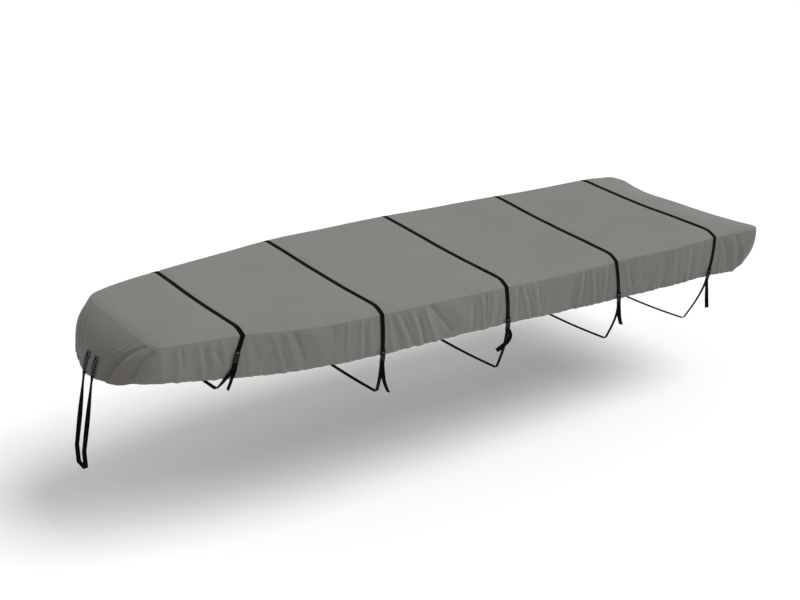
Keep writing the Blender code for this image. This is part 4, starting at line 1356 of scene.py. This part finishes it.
def round_rod(bm, height, length, radius):
    """A rod across the buckle at this height."""
    turn = Matrix.Translation((0, height, 0)) @ Matrix.Rotation(math.pi / 2, 4, "Y")
    bmesh.ops.create_cone(
        bm, cap_ends=True, segments=20, radius1=radius, radius2=radius, depth=length, matrix=turn
    )


def shape_mesh(name, build):
    bm = bmesh.new()
    build(bm)
    return mesh_from(bm, name)


def cut_mesh(name, body, *cutters):
    """The body with each cutter taken away from it."""
    base = bpy.data.objects.new(name, shape_mesh(name, body))
    tools = [bpy.data.objects.new(f"{name}_cut", shape_mesh(f"{name}_cut", c)) for c in cutters]
    for made in (base, *tools):
        bpy.context.scene.collection.objects.link(made)
    for tool in tools:
        step = base.modifiers.new("cut", "BOOLEAN")
        step.operation = "DIFFERENCE"
        step.solver = "EXACT"
        step.object = tool
    bpy.context.view_layer.update()
    graph = bpy.context.evaluated_depsgraph_get()
    mesh = bpy.data.meshes.new_from_object(base.evaluated_get(graph))
    for made in (base, *tools):
        bpy.data.objects.remove(made)
    return mesh


def rail_pair(bm, low, high, sizes):
    x = 0.5 * (sizes.width - sizes.rail)
    for side in (-1, 1):
        size = (sizes.rail, high - low, 0.0050)
        rounded_block(bm, size, (side * x, 0.5 * (low + high), 0), 0.0009)


def socket_mesh(sizes):
    """The upper half: a flat sleeve with side windows, ribs on its face and a rod."""
    gap = 0.0004
    length = sizes.socket - gap
    centre = gap + 0.5 * length
    edge = 0.5 * sizes.width

    def body(bm):
        rounded_block(bm, (sizes.width, length, 0.0085), (0, centre, 0), 0.0020)

    def windows(bm):
        for side in (-1, 1):
            rounded_block(bm, (0.012, 0.0115, 0.020), (side * (edge + 0.0020), centre, 0), 0.0012)

    def mouth(bm):
        rounded_block(bm, (sizes.width - 0.006, 0.014, 0.0046), (0, gap + 0.004, 0), 0.0008)

    def face(bm):
        rounded_block(bm, (0.013, 0.013, 0.0012), (0, centre, 0.00435), 0.0004)

    def extras(bm):
        rail_pair(bm, sizes.socket - 0.005, SOCKET_ROD + 0.0027, sizes)
        round_rod(bm, SOCKET_ROD, sizes.width - sizes.rail, 0.0021)
        for offset in (-0.0036, 0, 0.0036):
            rounded_block(bm, (0.0105, 0.0014, 0.0012), (0, centre + offset, 0.0041), 0.0004)

    whole = bmesh.new()
    for mesh in (cut_mesh("sleeve", body, windows, mouth, face), shape_mesh("bars", extras)):
        whole.from_mesh(mesh)
        bpy.data.meshes.remove(mesh)
    return whole


def plug_mesh(sizes):
    """The lower half: a flange with two side prongs, and two rods for the free strap."""
    whole = bmesh.new()
    width, flange = sizes.width, sizes.flange
    rounded_block(whole, (width, flange - 0.0004, 0.0070), (0, -0.5 * flange - 0.0002, 0), 0.0016)
    edge = 0.5 * width
    for side in (-1, 1):
        arm, knob = side * (edge - 0.0065), side * (edge - 0.0038)
        rounded_block(whole, (0.0030, 0.015, 0.0040), (arm, 0.0065, 0), 0.0008)
        rounded_block(whole, (0.0055, 0.0085, 0.0050), (knob, 0.0130, 0), 0.0014)
    rounded_block(whole, (0.0040, 0.015, 0.0030), (0, 0.0065, 0), 0.0008)
    rail_pair(whole, PLUG_END_ROD - 0.0027, -flange + 0.004, sizes)
    round_rod(whole, PLUG_ROD, width - sizes.rail, 0.0021)
    round_rod(whole, PLUG_END_ROD, width - sizes.rail, 0.0021)
    for offset in (-0.0018, 0.0, 0.0018):
        rounded_block(whole, (0.020, 0.0009, 0.0010), (0, -0.5 * flange + offset, 0.0034), 0.0003)
    return whole


def length_property(name, description, default):
    return bpy.props.FloatProperty(
        name=name, description=description, default=default, unit="LENGTH", precision=4
    )


def share_property(name, description, default):
    return bpy.props.FloatProperty(
        name=name, description=description, default=default, subtype="FACTOR"
    )


def color_property(name, description, default):
    return bpy.props.FloatVectorProperty(
        name=name, description=description, default=default, size=3, subtype="COLOR", min=0, max=1
    )


class ClothSettings(bpy.types.PropertyGroup):
    thickness: length_property("Thickness", "Thickness of the coated polyester", 0.0012)
    thread_pitch: length_property("Thread pitch", "Distance between threads of the weave", 0.0009)
    lap_width: length_property("Lap width", "How far the top turns down over the skirts", 0.012)
    lap_lift: length_property("Lap lift", "How far the lap stands off the skirts", 0.0002)
    hem_radius: length_property("Hem radius", "Radius of the hem round its elastic", 0.0042)
    hem_return: length_property("Hem return", "Cloth turned back up inside the hem", 0.020)
    stitch: length_property("Stitch length", "Length of one stitch", 0.006)
    thread: length_property("Thread radius", "Radius of the sewing thread", 0.0004)
    top_color: color_property("Top colour", "Colour of the top", (0.153, 0.150, 0.138))
    # The skirt colour is the top's cloth colour made darker: painted shade.
    shaded_skirt_color: color_property("Skirt colour", "Colour of the skirts", (0.139, 0.139, 0.124))
    inner_color: color_property("Inner colour", "Colour of the coated side", (0.30, 0.30, 0.29))
    # Shares and colour of the painted shade: the top and skirts darker aft, the bow darker and
    # brownish down its hem.
    top_end_shade: share_property("Top grime", "How much duller the top is at the stern", 0.05)
    skirt_end_shade: share_property("Skirt grime", "How much duller the skirts are aft", 0.19)
    bow_end_shade: share_property("Bow grime", "How much road grime the bow carries", 0.46)
    bow_shade_color: color_property("Grime colour", "Colour of the road grime", (0.042, 0.026, 0.028))
    thread_color: color_property(
        "Thread colour", "Colour of the seam thread", (0.138, 0.136, 0.127)
    )


class StrapSettings(bpy.types.PropertyGroup):
    width: length_property("Webbing width", "Width of all the webbing", 0.030)
    patch: length_property("Patch width", "Width of the bow strap's sewn ends", 0.050)
    thickness: length_property("Webbing thickness", "Thickness of the webbing", 0.0016)
    lift: length_property("Lift", "Middle of the webbing above the cloth", 0.0032)
    webbing_color: color_property(
        "Webbing colour", "Colour of the webbing", (0.0025, 0.0025, 0.003)
    )
    tack_stitch: length_property("Tack stitch", "Length of a stitch through the webbing", 0.0045)
    tack_thread: length_property("Tack thread", "Radius of the thread through the webbing", 0.0008)
    # The tacks are real stitching; their light grey is partly a painted highlight at the top of
    # each buckle.
    tack_highlight_color: color_property("Tack colour", "Colour of the webbing's thread", (0.22, 0.22, 0.21))


class BuckleSettings(bpy.types.PropertyGroup):
    width: length_property("Width", "Width of the buckle", 0.0375)
    socket: length_property("Socket length", "Length of the upper half's sleeve", 0.0285)
    flange: length_property("Flange length", "Length of the lower half's flange", 0.0185)
    rail: length_property("Rail width", "Width of the rails that hold the rods", 0.0028)
    buckle_color: color_property("Plastic colour", "Colour of the plastic", (0.008, 0.008, 0.0085))


class StageSettings(bpy.types.PropertyGroup):
    floor_color: color_property("Floor colour", "Colour of the floor", (0.90, 0.90, 0.90))
    floor_width: length_property("Floor width", "Width of the floor", 120.0)
    azimuth: bpy.props.FloatProperty(
        name="Azimuth",
        description="Camera round the cover, from the bow towards port",
        default=math.radians(54.965),
        subtype="ANGLE",
    )
    elevation: bpy.props.FloatProperty(
        name="Elevation",
        description="Camera above the horizon",
        default=math.radians(22.938),
        subtype="ANGLE",
    )
    camera: bpy.props.FloatVectorProperty(
        name="Camera place",
        description="Where the camera stands",
        default=(7.0176, -5.2626, 3.2954),
        subtype="TRANSLATION",
    )
    lens: bpy.props.FloatProperty(
        name="Lens", description="Focal length in millimetres", default=58.5, unit="CAMERA"
    )
    sky: bpy.props.FloatProperty(name="Sky", description="Strength of the pale sky", default=0.62)
    sun: bpy.props.FloatProperty(name="Sun", description="Strength of the soft sun", default=2.35)


class CoverSettings(bpy.types.PropertyGroup):
    cloth: bpy.props.PointerProperty(type=ClothSettings, name="Cloth")
    straps: bpy.props.PointerProperty(type=StrapSettings, name="Straps")
    buckles: bpy.props.PointerProperty(type=BuckleSettings, name="Buckles")
    stage: bpy.props.PointerProperty(type=StageSettings, name="Stage")


def outer_and_inner(settings, side):
    """The finishes of a sheet's outer and inner faces."""
    if side == "top":
        outer = cloth_finish(
            "top_polyester", settings.top_color, settings, 0.0010, settings.top_end_shade
        )
    else:
        # The skirts are the top's cloth in a darker colour, which is painted shade.
        outer = cloth_finish(
            "skirt_polyester", settings.shaded_skirt_color, settings, 0.0016, settings.skirt_end_shade
        )
    inner = cloth_finish("coated_inside", settings.inner_color, settings, 0.0010, coated=True)
    return outer, inner


def add_skirt(name, node, start, end, columns, outward, settings):
    mesh = facing(skirt_mesh(name, start, end, columns, settings), outward)
    piece = new_piece(name, mesh, *outer_and_inner(settings, "skirt"))
    thicken(piece, settings.thickness)
    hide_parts(node)
    return piece


class COVER_OT_top(bpy.types.Operator):
    """Adds the top cloth, taut over the boat, with its lap over the skirts."""

    bl_idname = "boat_cover.top"
    bl_label = "Top cloth"

    def execute(self, context):
        settings = context.scene.boat_cover.cloth
        mesh = facing(top_mesh("top_cloth", settings), (0, 0, 1))
        piece = new_piece("top_cloth", mesh, *outer_and_inner(settings, "top"))
        thicken(piece, settings.thickness)
        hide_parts("top_panel")
        return {"FINISHED"}


class COVER_OT_skirts(bpy.types.Operator):
    """Adds the port and starboard skirts with their creases and gathered hems."""

    bl_idname = "boat_cover.skirts"
    bl_label = "Side skirts"

    def execute(self, context):
        settings = context.scene.boat_cover.cloth
        add_skirt(
            "port_skirt", "side_panel_port", BOW_END, STERN_START, SIDE_COLUMNS, (1, 0, 0),
            settings,
        )
        add_skirt(
            "starboard_skirt",
            "side_panel_starboard",
            -STERN_START,
            -BOW_END,
            SIDE_COLUMNS,
            (-1, 0, 0),
            settings,
        )
        return {"FINISHED"}


class COVER_OT_ends(bpy.types.Operator):
    """Adds the bow cloth and the stern cloth."""

    bl_idname = "boat_cover.ends"
    bl_label = "Bow and stern cloths"

    def execute(self, context):
        settings = context.scene.boat_cover.cloth
        add_skirt(
            "bow_cloth", "bow_panel", -BOW_END, BOW_END, BOW_COLUMNS, (0, -1, 0),
            settings,
        )
        add_skirt(
            "stern_cloth",
            "stern_panel",
            STERN_START,
            STERN_START + STERN_LENGTH,
            STERN_COLUMNS,
            (0, 1, 0),
            settings,
        )
        return {"FINISHED"}


class COVER_OT_stitching(bpy.types.Operator):
    """Adds the stitching along the seams and hems and through the webbing."""

    bl_idname = "boat_cover.stitching"
    bl_label = "Seam and hem stitching"

    def execute(self, context):
        settings = context.scene.boat_cover.cloth
        finish = thread_finish("grey_thread", settings.thread_color)
        half = HALF_LENGTH
        lift = settings.lap_lift
        seams = [
            skirt_line(-half, half, down / SKIRT_DROP, lift) for down in SEAM_STITCH_DROPS
        ]
        hems = [skirt_line(-half, half, 1 - HEM_STITCH_RISE / SKIRT_DROP)]
        for name, lines in (("seam_stitches", seams), ("hem_stitches", hems)):
            mesh = thread_mesh(name, lines, settings.stitch, settings.thread)
            piece = new_piece(name, mesh, finish)
        straps = context.scene.boat_cover.straps
        # Light grey tack thread: real stitching, partly a painted highlight.
        light = thread_finish("light_thread", straps.tack_highlight_color)
        tacks = []
        for strap in STRAPS:
            tacks += tack_lines(strap, straps.width, straps.thickness)
        for side in (-1.0, 1.0):
            tacks += patch_lines(side, straps.patch, straps.thickness)
        mesh = thread_mesh("strap_stitches", tacks, straps.tack_stitch, straps.tack_thread)
        new_piece("strap_stitches", mesh, light)
        return {"FINISHED"}


class COVER_OT_straps(bpy.types.Operator):
    """Adds the five straps, from the sewn end round the hull to the free tail."""

    bl_idname = "boat_cover.straps"
    bl_label = "Straps"

    def execute(self, context):
        settings = context.scene.boat_cover.straps
        for strap in STRAPS:
            name = f"strap_webbing_{strap.number}"
            route = strap_route(strap, settings.lift, settings.width)
            spans = [settings.width] * len(route)
            mesh = webbing_mesh(name, route, spans, settings.width, settings.thickness)
            piece = new_piece(name, mesh, webbing_finish(settings))
            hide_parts(f"strap_{strap.number}")
        return {"FINISHED"}


class COVER_OT_bow_strap(bpy.types.Operator):
    """Adds the bow strap, sewn to the bow at both ends, with its loop under the tongue."""

    bl_idname = "boat_cover.bow_strap"
    bl_label = "Bow strap"

    def execute(self, context):
        settings = context.scene.boat_cover.straps
        route = bow_leg(1.0) + list(reversed(bow_leg(-1.0)))
        patch = [settings.patch] * BOW_LAP_POINTS
        spans = patch + [settings.width] * (len(route) - 2 * BOW_LAP_POINTS) + patch
        mesh = webbing_mesh("bow_webbing", route, spans, settings.width, settings.thickness)
        piece = new_piece("bow_webbing", mesh, webbing_finish(settings))
        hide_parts("bow_strap")
        return {"FINISHED"}


class COVER_OT_buckles(bpy.types.Operator):
    """Adds both halves of the five side-release buckles."""

    bl_idname = "boat_cover.buckles"
    bl_label = "Buckles"

    def execute(self, context):
        settings = context.scene.boat_cover.buckles
        finish = plastic_finish(settings)
        for strap in STRAPS:
            point, across, up, out = buckle_frame(strap)
            place = Matrix.Identity(4)
            for column, axis in enumerate((across, up, out, point)):
                place.col[column][:3] = axis
            halves = (
                ("buckle_upper", "buckle_socket", socket_mesh),
                ("buckle_lower", "buckle_plug", plug_mesh),
            )
            for name, node, build in halves:
                bm = build(settings)
                bmesh.ops.transform(bm, matrix=place, verts=bm.verts[:])
                mesh = mesh_from(bm, f"{name}_{strap.number}")
                piece = new_piece(mesh.name, mesh, finish)
                mesh.set_sharp_from_angle(angle=math.radians(40))
                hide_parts(f"{node}_{strap.number}")
        return {"FINISHED"}


class COVER_OT_stage(bpy.types.Operator):
    """Adds the pale floor, the soft light and the camera."""

    bl_idname = "boat_cover.stage"
    bl_label = "Stage"

    def execute(self, context):
        settings = context.scene.boat_cover.stage
        scene = context.scene
        bm = bmesh.new()
        bmesh.ops.create_grid(bm, x_segments=1, y_segments=1, size=settings.floor_width / 2)
        bmesh.ops.translate(bm, vec=(0, 0, -MOUNT_HEIGHT), verts=bm.verts[:])
        mesh = mesh_from(bm, "floor")
        mesh.materials.append(floor_finish(settings))
        floor = bpy.data.objects.new("floor", mesh)
        scene.collection.objects.link(floor)
        sky = bpy.data.worlds.new("pale_sky")
        sky.use_nodes = True
        back = sky.node_tree.nodes["Background"]
        back.inputs["Color"].default_value = (1.0, 1.0, 1.0, 1.0)
        back.inputs["Strength"].default_value = settings.sky
        scene.world = sky
        sun = bpy.data.lights.new("soft_sun", "SUN")
        sun.energy = settings.sun
        sun.angle = math.radians(SUN_ANGLE)
        lamp = bpy.data.objects.new("soft_sun", sun)
        toward = Vector(SUN_TOWARD).normalized()
        lamp.rotation_mode = "QUATERNION"
        lamp.rotation_quaternion = toward.to_track_quat("Z", "Y")
        scene.collection.objects.link(lamp)
        lens = bpy.data.cameras.new("camera")
        lens.lens = settings.lens
        lens.sensor_width = SENSOR_WIDTH
        lens.clip_end = VIEW_REACH
        camera = bpy.data.objects.new("camera", lens)
        level = math.cos(settings.elevation)
        back = (
            math.sin(settings.azimuth) * level,
            -math.cos(settings.azimuth) * level,
            math.sin(settings.elevation),
        )
        camera.rotation_mode = "QUATERNION"
        camera.rotation_quaternion = Vector(back).to_track_quat("Z", "Y")
        camera.location = settings.camera
        scene.collection.objects.link(camera)
        scene.camera = camera
        scene.view_settings.view_transform = "Standard"
        return {"FINISHED"}


OPERATORS = (
    COVER_OT_top,
    COVER_OT_skirts,
    COVER_OT_ends,
    COVER_OT_stitching,
    COVER_OT_straps,
    COVER_OT_bow_strap,
    COVER_OT_buckles,
    COVER_OT_stage,
)


class COVER_PT_panel(bpy.types.Panel):
    """Lists the steps that build the boat cover."""

    bl_label = "Boat cover"
    bl_space_type = "VIEW_3D"
    bl_region_type = "UI"
    bl_category = "Boat cover"

    def draw(self, context):
        for operator in OPERATORS:
            self.layout.operator(operator.bl_idname)


CLASSES = (
    ClothSettings,
    StrapSettings,
    BuckleSettings,
    StageSettings,
    CoverSettings,
    *OPERATORS,
    COVER_PT_panel,
)


def register():
    for made in CLASSES:
        bpy.utils.register_class(made)
    bpy.types.Scene.boat_cover = bpy.props.PointerProperty(type=CoverSettings)


def unregister():
    del bpy.types.Scene.boat_cover
    for made in reversed(CLASSES):
        bpy.utils.unregister_class(made)


def main():
    register()
    for operator in OPERATORS:
        group, name = operator.bl_idname.split(".")
        getattr(getattr(bpy.ops, group), name)()


if __name__ == "__main__":
    main()
